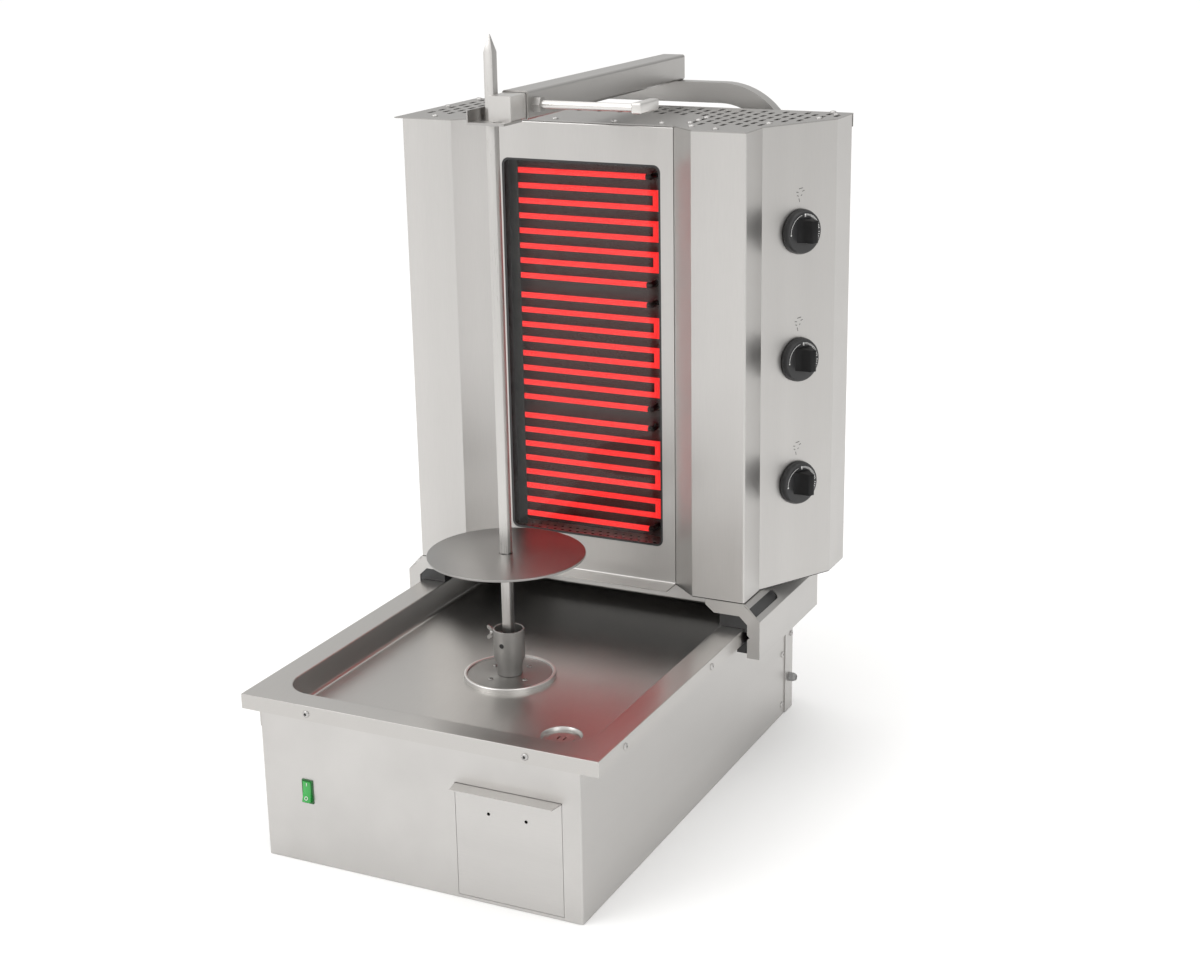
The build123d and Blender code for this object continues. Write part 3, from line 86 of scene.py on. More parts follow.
def put(tree: NodeTree, kind: str, values: Mapping[str | int, object] | None = None) -> Node:
    """Add a shader node.

    Args:
        tree: the nodes that it joins.
        kind: its type, without the words ShaderNode.
        values: what its inputs are set to.

    Returns:
        The node.
    """
    node = tree.nodes.new(f"ShaderNode{kind}")
    fix(node, values or {})
    return node


def wire(tree: NodeTree, *pairs: tuple[NodeSocket, NodeSocket]) -> None:
    """Link each output to its input."""
    for source, target in pairs:
        tree.links.new(source, target)


class Effects:
    """Node groups that more than one finish uses, each built once."""

    @staticmethod
    def start(
        name: str, numbers: Mapping[str, float], outputs: Sequence[str]
    ) -> tuple[NodeTree, Mapping[str, NodeSocket], Mapping[str, NodeSocket]]:
        """Start a group.

        Args:
            name: the group's name.
            numbers: its number inputs and their starting values; a Vector input is added first.
            outputs: its number outputs.

        Returns:
            The group, what it is given, and the results that it puts out.
        """
        tree = bpy.data.node_groups.new(name, "ShaderNodeTree")
        tree.interface.new_socket("Vector", in_out="INPUT", socket_type="NodeSocketVector")
        for label, value in numbers.items():
            socket = tree.interface.new_socket(label, in_out="INPUT", socket_type="NodeSocketFloat")
            socket.default_value = value
        for label in outputs:
            tree.interface.new_socket(label, in_out="OUTPUT", socket_type="NodeSocketFloat")
        given = tree.nodes.new("NodeGroupInput").outputs
        results = tree.nodes.new("NodeGroupOutput").inputs
        return tree, given, results

    @staticmethod
    @cache
    def grain() -> NodeTree:
        """Fine brushed lines with a slower drift across the sheet.

        Returns:
            The group.
        """
        tree, given, results = Effects.start("Grain", {"Fine": 1400.0, "Broad": 9.0}, ("Lines", "Drift"))
        fine = put(tree, "TexNoise", {"Detail": 2.0, "Roughness": 0.6})
        broad = put(tree, "TexNoise", {"Detail": 3.0})
        for noise, scale, result in ((fine, "Fine", "Lines"), (broad, "Broad", "Drift")):
            wire(
                tree,
                (given["Vector"], noise.inputs["Vector"]),
                (given[scale], noise.inputs["Scale"]),
                (noise.outputs["Fac"], results[result]),
            )
        return tree

    @staticmethod
    @cache
    def smudges() -> NodeTree:
        """Soft marks left by hands and cloths.

        Returns:
            The group.
        """
        tree, given, results = Effects.start("Smudges", {"Scale": 7.0, "Amount": 0.5}, ("Mask",))
        cloud = put(tree, "TexNoise", {"Detail": 5.0, "Distortion": 0.6})
        band = put(tree, "MapRange", {"From Min": 0.42, "From Max": 0.72})
        scaled = put(tree, "Math")
        scaled.operation = "MULTIPLY"
        wire(
            tree,
            (given["Vector"], cloud.inputs["Vector"]),
            (given["Scale"], cloud.inputs["Scale"]),
            (cloud.outputs["Fac"], band.inputs["Value"]),
            (band.outputs["Result"], scaled.inputs[0]),
            (given["Amount"], scaled.inputs[1]),
            (scaled.outputs["Value"], results["Mask"]),
        )
        return tree

    @staticmethod
    @cache
    def pits() -> NodeTree:
        """The small uneven pattern of moulded plastic or cast metal.

        Returns:
            The group.
        """
        tree, given, results = Effects.start("Pits", {"Scale": 900.0}, ("Height", "Cloud"))
        cells = put(tree, "TexVoronoi")
        cloud = put(tree, "TexNoise", {"Scale": 30.0, "Detail": 4.0})
        wire(
            tree,
            (given["Vector"], cells.inputs["Vector"]),
            (given["Scale"], cells.inputs["Scale"]),
            (given["Vector"], cloud.inputs["Vector"]),
            (cells.outputs["Distance"], results["Height"]),
            (cloud.outputs["Fac"], results["Cloud"]),
        )
        return tree


# Finishes


@dataclass(frozen=True)
class Finish:
    """A material's name and base colour, and the nodes that every finish starts from."""

    name: str
    tone: Triple

    def build(self) -> Material:
        """Make the material at the first call.

        Returns:
            The material, the same one at every later call.
        """
        name = f"{self.name}_finish"
        made = bpy.data.materials.get(name)
        if made is None:
            made = bpy.data.materials.new(name)
            made.use_nodes = True
            made.diffuse_color = (*self.tone, 1.0)
            self.dress(made.node_tree, made.node_tree.nodes["Principled BSDF"])
        return made

    def dress(self, tree: NodeTree, shader: Node) -> None:
        """Give the shader its nodes and values; each finish has its own."""
        fix(shader, {"Base Color": (*self.tone, 1.0)})

    def shade(self, share: float) -> list[float]:
        """The base colour made darker or lighter."""
        return [min(c * share, 1.0) for c in self.tone]

    def effect(
        self, tree: NodeTree, group: NodeTree, stretch: Triple = (1.0, 1.0, 1.0), **values: float
    ) -> Mapping[str, NodeSocket]:
        """Place a shared effect on the piece's own coordinates.

        Args:
            tree: the material's nodes.
            group: the effect.
            stretch: the coordinates' scale on each axis.
            values: numbers for the effect's inputs.

        Returns:
            The effect's outputs.
        """
        spot = put(tree, "TexCoord")
        mapping = put(tree, "Mapping", {"Scale": stretch})
        node = put(tree, "Group")
        node.node_tree = group
        fix(node, values)
        wire(
            tree,
            (spot.outputs["Object"], mapping.inputs["Vector"]),
            (mapping.outputs["Vector"], node.inputs["Vector"]),
        )
        return node.outputs

    def ramp(
        self, tree: NodeTree, value: NodeSocket, low: Sequence[float], high: Sequence[float]
    ) -> NodeSocket:
        """A colour that changes as a value crosses the middle of its range.

        Args:
            tree: the material's nodes.
            value: the value.
            low: the colour below the middle.
            high: the colour above it.

        Returns:
            The colour.
        """
        node = put(tree, "ValToRGB")
        for stop, position, colour in zip(node.color_ramp.elements, (0.3, 0.7), (low, high)):
            stop.position = position
            stop.color = (*colour, 1.0)
        wire(tree, (value, node.inputs["Fac"]))
        return node.outputs["Color"]

    def spread(
        self, tree: NodeTree, value: NodeSocket, low: float, high: float, span: Pair = (0.3, 0.7)
    ) -> NodeSocket:
        """A number that changes as a value crosses a span.

        Args:
            tree: the material's nodes.
            value: the value.
            low: the number below the span.
            high: the number above it.
            span: where the span starts and ends.

        Returns:
            The number.
        """
        ends = {"From Min": span[0], "From Max": span[1], "To Min": low, "To Max": high}
        node = put(tree, "MapRange", ends)
        wire(tree, (value, node.inputs["Value"]))
        return node.outputs["Result"]

    def bump(
        self, tree: NodeTree, shader: Node, height: NodeSocket, strength: float, distance: float
    ) -> None:
        """Raise the surface by a height map.

        Args:
            tree: the material's nodes.
            shader: the shader that is raised.
            height: the map.
            strength: its share.
            distance: how far a full height reaches.
        """
        node = put(tree, "Bump", {"Strength": strength, "Distance": distance})
        wire(tree, (height, node.inputs["Height"]), (node.outputs["Normal"], shader.inputs["Normal"]))


@dataclass(frozen=True)
class BrushedSteel(Finish):
    """Stainless sheet or bar with fine lines, a slow change of tone and faint smudges."""

    along: Along = Along.Z
    roughness: float = 0.36
    lines: float = 0.05
    smudge: float = 0.35
    relief: float = 0.05
    groove: float = 0.92
    blend: float = 0.6
    wear: float = 0.12

    def dress(self, tree: NodeTree, shader: Node) -> None:
        """Let the brushed lines drive tone, roughness and bump together.

        Args:
            tree: the material's nodes.
            shader: its shader.
        """
        grain = self.effect(tree, Effects.grain(), self.along.value)
        smudges = self.effect(tree, Effects.smudges(), Amount=self.smudge)
        drift = self.ramp(tree, grain["Drift"], self.shade(1.0 - self.lines), self.shade(1.0 + self.lines))
        fine = self.ramp(tree, grain["Lines"], [self.groove] * 3, [1.0] * 3)
        smooth, dull = self.roughness - 0.8 * self.lines, self.roughness + self.lines
        rough = self.spread(tree, grain["Lines"], smooth, dull)
        tone = put(tree, "MixRGB", {"Fac": self.blend})
        tone.blend_type = "MULTIPLY"
        worn = put(tree, "Math", {1: self.wear})
        worn.operation = "MULTIPLY_ADD"
        wire(
            tree,
            (drift, tone.inputs["Color1"]),
            (fine, tone.inputs["Color2"]),
            (tone.outputs["Color"], shader.inputs["Base Color"]),
            (smudges["Mask"], worn.inputs[0]),
            (rough, worn.inputs[2]),
            (worn.outputs["Value"], shader.inputs["Roughness"]),
        )
        self.bump(tree, shader, grain["Lines"], self.relief, 0.0002)
        fix(shader, {"Metallic": 1.0})


@dataclass(frozen=True)
class GlowingRod(Finish):
    """Metal-clad heater whose glow drifts a little along the rod."""

    strength: float = 1.3
    cooler: float = 0.82
    skin: tuple[Triple, Triple] = ((0.12, 0.01, 0.01), (0.2, 0.02, 0.02))
    roughness: float = 0.6
    relief: float = 0.15

    def dress(self, tree: NodeTree, shader: Node) -> None:
        """Give the rod its glow and its dull skin.

        Args:
            tree: the material's nodes.
            shader: its shader.
        """
        grain = self.effect(tree, Effects.grain(), Fine=500.0, Broad=22.0)
        glow = self.ramp(tree, grain["Drift"], self.shade(self.cooler), self.tone)
        body = self.ramp(tree, grain["Lines"], *self.skin)
        wire(tree, (glow, shader.inputs["Emission Color"]), (body, shader.inputs["Base Color"]))
        fix(shader, {"Emission Strength": self.strength, "Roughness": self.roughness})
        self.bump(tree, shader, grain["Lines"], self.relief, 0.0003)


@dataclass(frozen=True)
class WindowGlass(Finish):
    """Heat-proof glass with a faint grey cast and wiped smears."""

    smeared: float = 0.9
    roughness: float = 0.015
    refraction: float = 1.28

    def dress(self, tree: NodeTree, shader: Node) -> None:
        """Make a clear body whose gloss the smears change.

        Args:
            tree: the material's nodes.
            shader: its shader.
        """
        smudges = self.effect(tree, Effects.smudges(), Scale=9.0, Amount=0.6)
        tint = self.ramp(tree, smudges["Mask"], self.tone, self.shade(self.smeared))
        rough = self.spread(tree, smudges["Mask"], 0.0, self.roughness, (0.0, 1.0))
        wire(tree, (tint, shader.inputs["Base Color"]), (rough, shader.inputs["Roughness"]))
        fix(shader, {"Transmission Weight": 1.0, "IOR": self.refraction, "Metallic": 0.0})


@dataclass(frozen=True)
class MouldedPlastic(Finish):
    """Moulded plastic with a fine pitted skin."""

    roughness: float = 0.42
    coat: float = 0.0
    gloss: float = 0.5
    coat_roughness: float = 0.12
    relief: float = 0.06

    def dress(self, tree: NodeTree, shader: Node) -> None:
        """Let the pits drive the bump, and a slow cloud the tone and gloss.

        Args:
            tree: the material's nodes.
            shader: its shader.
        """
        pits = self.effect(tree, Effects.pits())
        smudges = self.effect(tree, Effects.smudges(), Scale=25.0, Amount=0.5)
        tone = self.ramp(tree, pits["Cloud"], self.shade(0.8), self.shade(1.15))
        rough = self.spread(tree, smudges["Mask"], self.roughness, self.roughness + 0.12, (0.0, 0.5))
        wire(tree, (tone, shader.inputs["Base Color"]), (rough, shader.inputs["Roughness"]))
        coat = {"Coat Weight": self.coat, "Coat Roughness": self.coat_roughness}
        fix(shader, {"Specular IOR Level": self.gloss, **coat})
        self.bump(tree, shader, pits["Height"], self.relief, 0.0002)


@dataclass(frozen=True)
class RoughMetal(Finish):
    """Cast, painted or mill-finish metal."""

    metallic: float = 1.0
    roughness: float = 0.5
    scale: float = 700.0
    relief: float = 0.12

    def dress(self, tree: NodeTree, shader: Node) -> None:
        """Lay a cloudy tone over a fine uneven skin.

        Args:
            tree: the material's nodes.
            shader: its shader.
        """
        pits = self.effect(tree, Effects.pits(), Scale=self.scale)
        tone = self.ramp(tree, pits["Cloud"], self.shade(0.82), self.shade(1.1))
        rough = self.spread(tree, pits["Cloud"], self.roughness - 0.06, self.roughness + 0.08)
        wire(tree, (tone, shader.inputs["Base Color"]), (rough, shader.inputs["Roughness"]))
        fix(shader, {"Metallic": self.metallic})
        self.bump(tree, shader, pits["Height"], self.relief, 0.0003)


SHEET_TONE = (0.535, 0.523, 0.509)
SHEET = BrushedSteel("sheet_steel", SHEET_TONE)
SHEET_SIDE = BrushedSteel("sheet_steel_long", SHEET_TONE, Along.Y)
SHEET_FRONT = BrushedSteel("sheet_steel_wide", SHEET_TONE, Along.X)
FRAME = BrushedSteel("frame_steel", (0.47, 0.46, 0.448), Along.X, 0.34)
COVER = BrushedSteel("cover_steel", (0.38, 0.371, 0.36), Along.X, 0.4)
PAN = BrushedSteel("pan_steel", (0.50, 0.487, 0.47), Along.Y, 0.3, lines=0.012, smudge=0.3, relief=0.003)
# Near-black tone on the tray, reflector, floor and retainer inside the tower: painted shade of the enclosed
# interior, not the steel's own colour.
INNER_SHADED = BrushedSteel("inner_steel_painted_shade", (0.06, 0.059, 0.058), Along.Z, 0.45)
TURNED = BrushedSteel("turned_steel", (0.34, 0.332, 0.321), Along.X, 0.4)
SLEEVE = BrushedSteel("sleeve_steel", (0.38, 0.371, 0.36), Along.X, 0.5)
# A much lighter copy of the turned steel: a painted highlight on the bearing plate's raised rim.
RIM_HIGHLIGHT = BrushedSteel("flange_rim_painted_highlight", (0.72, 0.706, 0.688), Along.X, 0.34)
POLISHED = BrushedSteel(
    "polished_steel", (0.30, 0.293, 0.284), Along.X, 0.3, lines=0.02, smudge=0.25, relief=0.006
)
BAR = BrushedSteel("bar_steel", (0.42, 0.41, 0.398), Along.Y, 0.32)
SPIT = BrushedSteel("spit_steel", (0.57, 0.557, 0.541), Along.Z, 0.3)
BLOCK = BrushedSteel("block_steel", (0.57, 0.557, 0.541), Along.Y, 0.34)
ROD = BrushedSteel("lever_steel", (0.66, 0.645, 0.627), Along.X, 0.3)
COLD = RoughMetal("cold_end", (0.03, 0.03, 0.03), roughness=0.6)
SCREW = RoughMetal("screw_steel", (0.5, 0.49, 0.48), roughness=0.32)
# Near-black painted shade for the floors of screw recesses and for the disc that stands in for the cross
# hole's bore.
SCREW_SHADE = RoughMetal("screw_recess_painted_shade", (0.06, 0.06, 0.06), roughness=0.5)
MILL = RoughMetal("mill_steel", (0.5, 0.49, 0.48), roughness=0.45)
CAST = RoughMetal("cast_housing", (0.5, 0.5, 0.5), roughness=0.55)
MOTOR = RoughMetal("motor_paint", (0.03, 0.03, 0.032), metallic=0.0, roughness=0.45)
BOARD = RoughMetal("fibre_board", (0.8, 0.78, 0.72), metallic=0.0, roughness=0.9)
GLASS = WindowGlass("window_glass", (0.86, 0.86, 0.85))
GLOW = GlowingRod("heater_glow", (1.0, 0.02, 0.02))
KNOB = MouldedPlastic("knob_black", (0.012, 0.012, 0.013), roughness=0.36, coat=0.15)
GRIP = MouldedPlastic("grip_black", (0.006, 0.006, 0.0065), roughness=0.3, gloss=0.2)
MARK = MouldedPlastic("dial_white", (0.75, 0.75, 0.74), roughness=0.5)
SIGN = MouldedPlastic("sign_grey", (0.16, 0.156, 0.152), roughness=0.6)
BLACK = MouldedPlastic("black_nylon", (0.014, 0.014, 0.015), roughness=0.3, coat=0.3)
GREY = MouldedPlastic("grey_nylon", (0.30, 0.30, 0.30), roughness=0.45)
GREEN = MouldedPlastic("switch_green", (0.02, 0.33, 0.05), roughness=0.25, coat=0.4)
GREEN_DARK = MouldedPlastic("switch_green_deep", (0.008, 0.12, 0.02), roughness=0.35)


# Mesh work


def stand(name: str, data: ID) -> Object:
    """Make an object of some data and put it in the scene.

    Args:
        name: the object's name.
        data: its mesh, lamp or camera.

    Returns:
        The object.
    """
    made = bpy.data.objects.new(name, data)
    bpy.context.scene.collection.objects.link(made)
    return made


class Shape:
    """A mesh being worked on, in metres, with the bmesh operators that the pieces use."""

    def __init__(self) -> None:
        """Start empty."""
        self.bm = bmesh.new()

    def box(self, low: Sequence[float], high: Sequence[float]) -> list[BMVert]:
        """Add a box.

        Args:
            low: its lowest corner.
            high: its highest corner.

        Returns:
            Its vertices.
        """
        middle = (Vector(low) + Vector(high)) / 2
        size = Vector(high) - Vector(low)
        place = Matrix.Translation(middle) @ Matrix.Diagonal((*size, 1.0))
        return bmesh.ops.create_cube(self.bm, size=1.0, matrix=place)["verts"]

    def bevel(self, edges: Iterable[BMEdge], width: float, segments: int = 3) -> None:
        """Round some edges.

        Args:
            edges: the edges.
            width: how far the rounding reaches.
            segments: how many steps it has.
        """
        bmesh.ops.bevel(
            self.bm,
            geom=list(edges),
            offset=width,
            offset_type="OFFSET",
            segments=segments,
            profile=0.5,
            affect="EDGES",
            clamp_overlap=True,
            material=-1,
        )

    def sweep(self, points: Sequence[Vector], place: Matrix, angle: float, steps: int, merge: bool) -> None:
        """Turn a line about the place's Z axis.

        Args:
            points: the line's points.
            place: the axis it turns about.
            angle: how far it turns.
            steps: in how many steps.
            merge: whether the end joins the start.
        """
        verts = [self.bm.verts.new(p) for p in points]
        edges = [self.bm.edges.new(pair) for pair in zip(verts, verts[1:])]
        bmesh.ops.spin(
            self.bm,
            geom=verts + edges,
            cent=place.translation,
            axis=(place.to_3x3() @ UP).normalized(),
            dvec=(0, 0, 0),
            angle=angle,
            steps=steps,
            use_merge=merge,
            use_duplicate=False,
        )

    def spin(self, profile: Sequence[Pair], place: Matrix | None = None, steps: int = 64) -> None:
        """Turn a profile into a round body.

        Args:
            profile: radius and height pairs, from one end of the axis to the other.
            place: where the body stands, or the frame's origin.
            steps: how many sides it has.
        """
        if place is None:
            place = Matrix.Identity(4)
        points = [place @ Vector((r, 0.0, z)) for r, z in profile]
        self.sweep(points, place, 2 * pi, steps, True)

    def loop(self, points: Sequence[Vector]) -> list[BMEdge]:
        """A closed run of edges through a few points."""
        verts = [self.bm.verts.new(p) for p in points]
        return [self.bm.edges.new((a, b)) for a, b in zip(verts, verts[1:] + verts[:1])]

    def fill(self, edges: Iterable[BMEdge], normal: Vector) -> list[BMFace]:
        """Fill flat loops, the inner ones staying open.

        Args:
            edges: the edges of every loop.
            normal: the way that the faces look.

        Returns:
            The faces.
        """
        made = bmesh.ops.triangle_fill(
            self.bm, use_beauty=True, use_dissolve=False, edges=list(edges), normal=normal
        )
        faces = [f for f in made["geom"] if isinstance(f, BMFace)]
        for face in faces:
            face.normal_update()
            if face.normal.dot(normal) < 0:
                face.normal_flip()
        return faces

    def bridge(self, rings: Sequence[list[BMEdge]]) -> None:
        """Join each closed run of edges to the next."""
        for one, other in zip(rings, rings[1:]):
            bmesh.ops.bridge_loops(self.bm, edges=one + other)

    def pull(self, edges: Iterable[BMEdge]) -> tuple[list[BMVert], list[BMEdge]]:
        """Extrude a run of edges on the spot.

        Args:
            edges: the run.

        Returns:
            The new vertices and the new run.
        """
        made = bmesh.ops.extrude_edge_only(self.bm, edges=list(edges))["geom"]
        verts = [g for g in made if isinstance(g, BMVert)]
        new = set(verts)
        return verts, [g for g in made if isinstance(g, BMEdge) and new.issuperset(g.verts)]

    def thicken(self, faces: Sequence[BMFace], step: Vector) -> None:
        """Draw flat faces out into a plate.

        Args:
            faces: the faces.
            step: how far and which way.
        """
        geom = bmesh.ops.extrude_face_region(self.bm, geom=list(faces), use_keep_orig=True)["geom"]
        bmesh.ops.translate(self.bm, verts=[g for g in geom if isinstance(g, BMVert)], vec=step)
        bmesh.ops.recalc_face_normals(self.bm, faces=self.bm.faces[:])

    def paint(self, faces: Iterable[BMFace], index: int = 1) -> None:
        """Give some faces another of the piece's materials."""
        for face in faces:
            face.material_index = index

    def finish(
        self,
        name: str,
        finishes: Sequence[Finish],
        body: str,
        slot: str,
        nodes: Sequence[str] = (),
        smooth: float = 35.0,
    ) -> Object:
        """Close the mesh, make its object, hang it on its body's empty and hide the solids it stands for.

        Args:
            name: the piece's name.
            finishes: its materials in slot order.
            body: the body that it moves with.
            slot: the record's material slot; not used.
            nodes: the plain solids that it stands for.
            smooth: the angle in degrees under which edges are shaded smooth.

        Returns:
            The object.
        """
        bmesh.ops.remove_doubles(self.bm, verts=self.bm.verts[:], dist=MERGE)
        bmesh.ops.recalc_face_normals(self.bm, faces=self.bm.faces[:])
        mesh = bpy.data.meshes.new(name)
        self.bm.to_mesh(mesh)
        self.bm.free()
        for finish in finishes:
            mesh.materials.append(finish.build())
        mesh.shade_smooth()
        mesh.set_sharp_from_angle(angle=radians(smooth))
        piece = stand(name, mesh)
        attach(piece, body)
        if nodes:
            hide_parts(*nodes)
        LOG.info("%s: %d faces", name, len(mesh.polygons))
        return piece


def even(piece: Object) -> None:
    """Let the large flat faces decide how the narrow folds beside them are shaded.

    Args:
        piece: the piece.
    """
    normals = piece.modifiers.new("even_shading", "WEIGHTED_NORMAL")
    normals.mode = "FACE_AREA_WITH_ANGLE"
    normals.keep_sharp = True


def ink(piece: Object, thickness: float) -> None:
    """Give a printed mark a little body.

    Args:
        piece: the mark.
        thickness: how thick it becomes.
    """
    skin = piece.modifiers.new("ink", "SOLIDIFY")
    skin.thickness = thickness
    skin.offset = 0.0


def along(origin: Sequence[float], direction: Sequence[float], level: Sequence[float]) -> Matrix:
    """A place that looks along a direction.

    Args:
        origin: where it is.
        direction: the way of its Z.
        level: the way of its X.

    Returns:
        The place.
    """
    z = Vector(direction).normalized()
    x = Vector(level).normalized()
    turn = Matrix((x, z.cross(x), z)).transposed()
    return Matrix.Translation(Vector(origin)) @ turn.to_4x4()


def obround(x: float, y: float, z: float, half: float, end: float, steps: int = 5) -> list[Vector]:
    """Outline of a slot with round ends that runs along Y.

    Args:
        x: its centre's X.
        y: its centre's Y.
        z: its height.
        half: half its width.
        end: half its length.
        steps: how many steps each round end has.

    Returns:
        The points.
    """
    points = []
    for start, way in ((0.0, 1), (pi, -1)):
        for k in range(steps + 1):
            a = start + pi * k / steps
            points.append(Vector((x + half * cos(a), y + way * end - way * half + half * sin(a), z)))
    return points


def circle(centre: Sequence[float], radius: float, steps: int) -> list[Vector]:
    """Points round a level circle.

    Args:
        centre: its centre.
        radius: its radius.
        steps: how many points.

    Returns:
        The points.
    """
    x, y, z = centre
    turns = [2 * pi * k / steps for k in range(steps)]
    return [Vector((x + radius * cos(a), y + radius * sin(a), z)) for a in turns]


def rounded(half: float, low: float, high: float, corner: float, steps: int) -> list[Pair]:
    """Outline of a rectangle with round corners.

    Args:
        half: half its width.
        low: its lower end.
        high: its upper end.
        corner: the radius of its corners.
        steps: how many steps each corner has.

    Returns:
        The points, as pairs across and up.
    """
    x, bottom, top = half - corner, low + corner, high - corner
    points = []
    for quarter, (u, v) in enumerate(((x, top), (-x, top), (-x, bottom), (x, bottom))):
        for k in range(steps + 1):
            a = pi / 2 * (quarter + k / steps)
            points.append((u + corner * cos(a), v + corner * sin(a)))
    return points


def roll(radius: float, steps: int) -> list[Pair]:
    """How far a quarter-round fold reaches across and down, from its start to its end."""
    turns = [k * pi / (2 * steps) for k in range(steps + 1)]
    return [(radius * (1 - sin(a)), radius * (1 - cos(a))) for a in turns]


# Sub-assemblies


@dataclass
class DripPan:
    """The pressed pan: rim, basin, drain with its strainer, and the hole for the spindle's bearing."""

    corner: float = 42 * MM
    corner_steps: int = 10
    ring_steps: int = 48
    lean: float = 8 * MM
    floor_round: float = 6 * MM
    rim_round: float = 2.5 * MM
    edge_round: float = 1.1 * MM
    lip: float = 20 * MM
    gauge: float = 1.5 * MM
    basin_half: float = 214 * MM
    basin_front: float = -215 * MM
    basin_back: float = 351 * MM
    depth: float = 30.5 * MM
    hub: float = 23 * MM
    drain: Pair = (146.4 * MM, -140.1 * MM)
    drain_radius: float = 27 * MM
    drain_drop: float = 5 * MM
    drain_slope: float = 3 * MM
    seat_round: float = 1.5 * MM
    spout: float = 13 * MM
    spout_end: float = 30 * MM
    strainer_top: float = 1.2 * MM
    strainer_gauge: float = 1 * MM
    strainer_slot: Triple = (4 * MM, 0.9 * MM, 4.5 * MM)

    def outline(self, inset: float, z: float) -> list[Vector]:
        """The basin's rounded outline, drawn in by an inset, at one height."""
        ends = (self.basin_half - inset, self.basin_front + inset, self.basin_back - inset)
        return [Vector((x, y, z)) for x, y in rounded(*ends, self.corner - inset, self.corner_steps)]

    def wall(self) -> list[Pair]:
        """Work out the basin's wall.

        Returns:
            Inset and depth of each step, from the rim's flat to the floor's flat.
        """
        root = self.floor_round
        start = atan(self.lean / self.depth)
        rows = [(-across, down) for across, down in roll(self.rim_round, 4)]
        for k in range(6):
            a = start + (pi / 2 - start) * k / 5
            rows.append((self.lean - root * cos(a) + root * cos(start), self.depth - root * (1 - sin(a))))
        return rows

    def press(self) -> None:
        """Press the pan from one sheet."""
        low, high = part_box("drip_pan")
        top = high.z
        floor = top - self.depth
        shape = Shape()
        rings = [shape.loop(self.outline(inset, top - drop)) for inset, drop in self.wall()]
        hub = shape.loop(circle((0, 0, floor), self.hub, self.ring_steps))
        drain = shape.loop(circle((*self.drain, floor), self.drain_radius, self.ring_steps))
        shape.fill(rings[-1] + hub + drain, UP)
        shape.bridge(rings)
        self.press_drain(shape, drain, floor)
        borders = []
        for inset, drop in roll(self.edge_round, 3) + [(0.0, self.lip)]:
            x, y = (low.x + inset, high.x - inset), (low.y + inset, high.y - inset)
            corners = ((x[0], y[0]), (x[1], y[0]), (x[1], y[1]), (x[0], y[1]))
            borders.append(shape.loop([Vector((*corner, top - drop)) for corner in corners]))
        shape.fill(rings[0] + borders[0], UP)
        shape.bridge(borders)
        bm = shape.bm
        bmesh.ops.remove_doubles(bm, verts=bm.verts[:], dist=MERGE)
        bmesh.ops.recalc_face_normals(bm, faces=bm.faces[:])
        if sum(f.normal.z * f.calc_area() for f in bm.faces) <= 0:
            bmesh.ops.reverse_faces(bm, faces=bm.faces[:])
        bmesh.ops.solidify(bm, geom=bm.faces[:], thickness=self.gauge)
        even(shape.finish("drip_pan_pressed", [PAN], "base", "pan_steel", ["drip_pan"], 50.0))

    def press_drain(self, shape: Shape, ring: list[BMEdge], floor: float) -> None:
        """Draw the drain's cone, seat and short spout down from its hole.

        Args:
            shape: the pan.
            ring: the hole's edges.
            floor: the height of the basin's floor.
        """
        seat = floor - self.drain_drop
        steps = (
            (self.drain_radius - self.seat_round, floor - 0.6 * MM),
            (self.drain_radius - self.drain_slope, seat),
            (self.spout + self.seat_round, seat),
            (self.spout, seat - self.seat_round),
            (self.spout, floor - self.spout_end),
        )
        place = Matrix.Translation(-Vector((*self.drain, 0)))
        radius = self.drain_radius
        for new_radius, z in steps:
            verts, ring = shape.pull(ring)
            share = new_radius / radius
            bmesh.ops.scale(shape.bm, vec=(share, share, 1.0), space=place, verts=verts)
            for vert in verts:
                vert.co.z = z
            radius = new_radius

    def strainer(self) -> None:
        """Lay a flat plate with two slots over the drain's spout."""
        x, y = self.drain
        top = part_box("drip_pan")[1].z - self.depth - self.drain_drop + self.strainer_top
        offset, half, end = self.strainer_slot
        shape = Shape()
        rings = shape.loop(circle((x, y, top), self.spout + 3 * MM, 40))
        for side in (-1, 1):
            rings += shape.loop(obround(x + side * offset, y, top, half, end))
        shape.thicken(shape.fill(rings, UP), Vector((0, 0, -self.strainer_gauge)))
        shape.finish("drain_strainer", [PAN], "base", "pan_steel")

    def build(self) -> None:
        """Make the pan and its strainer."""
        self.press()
        self.strainer()


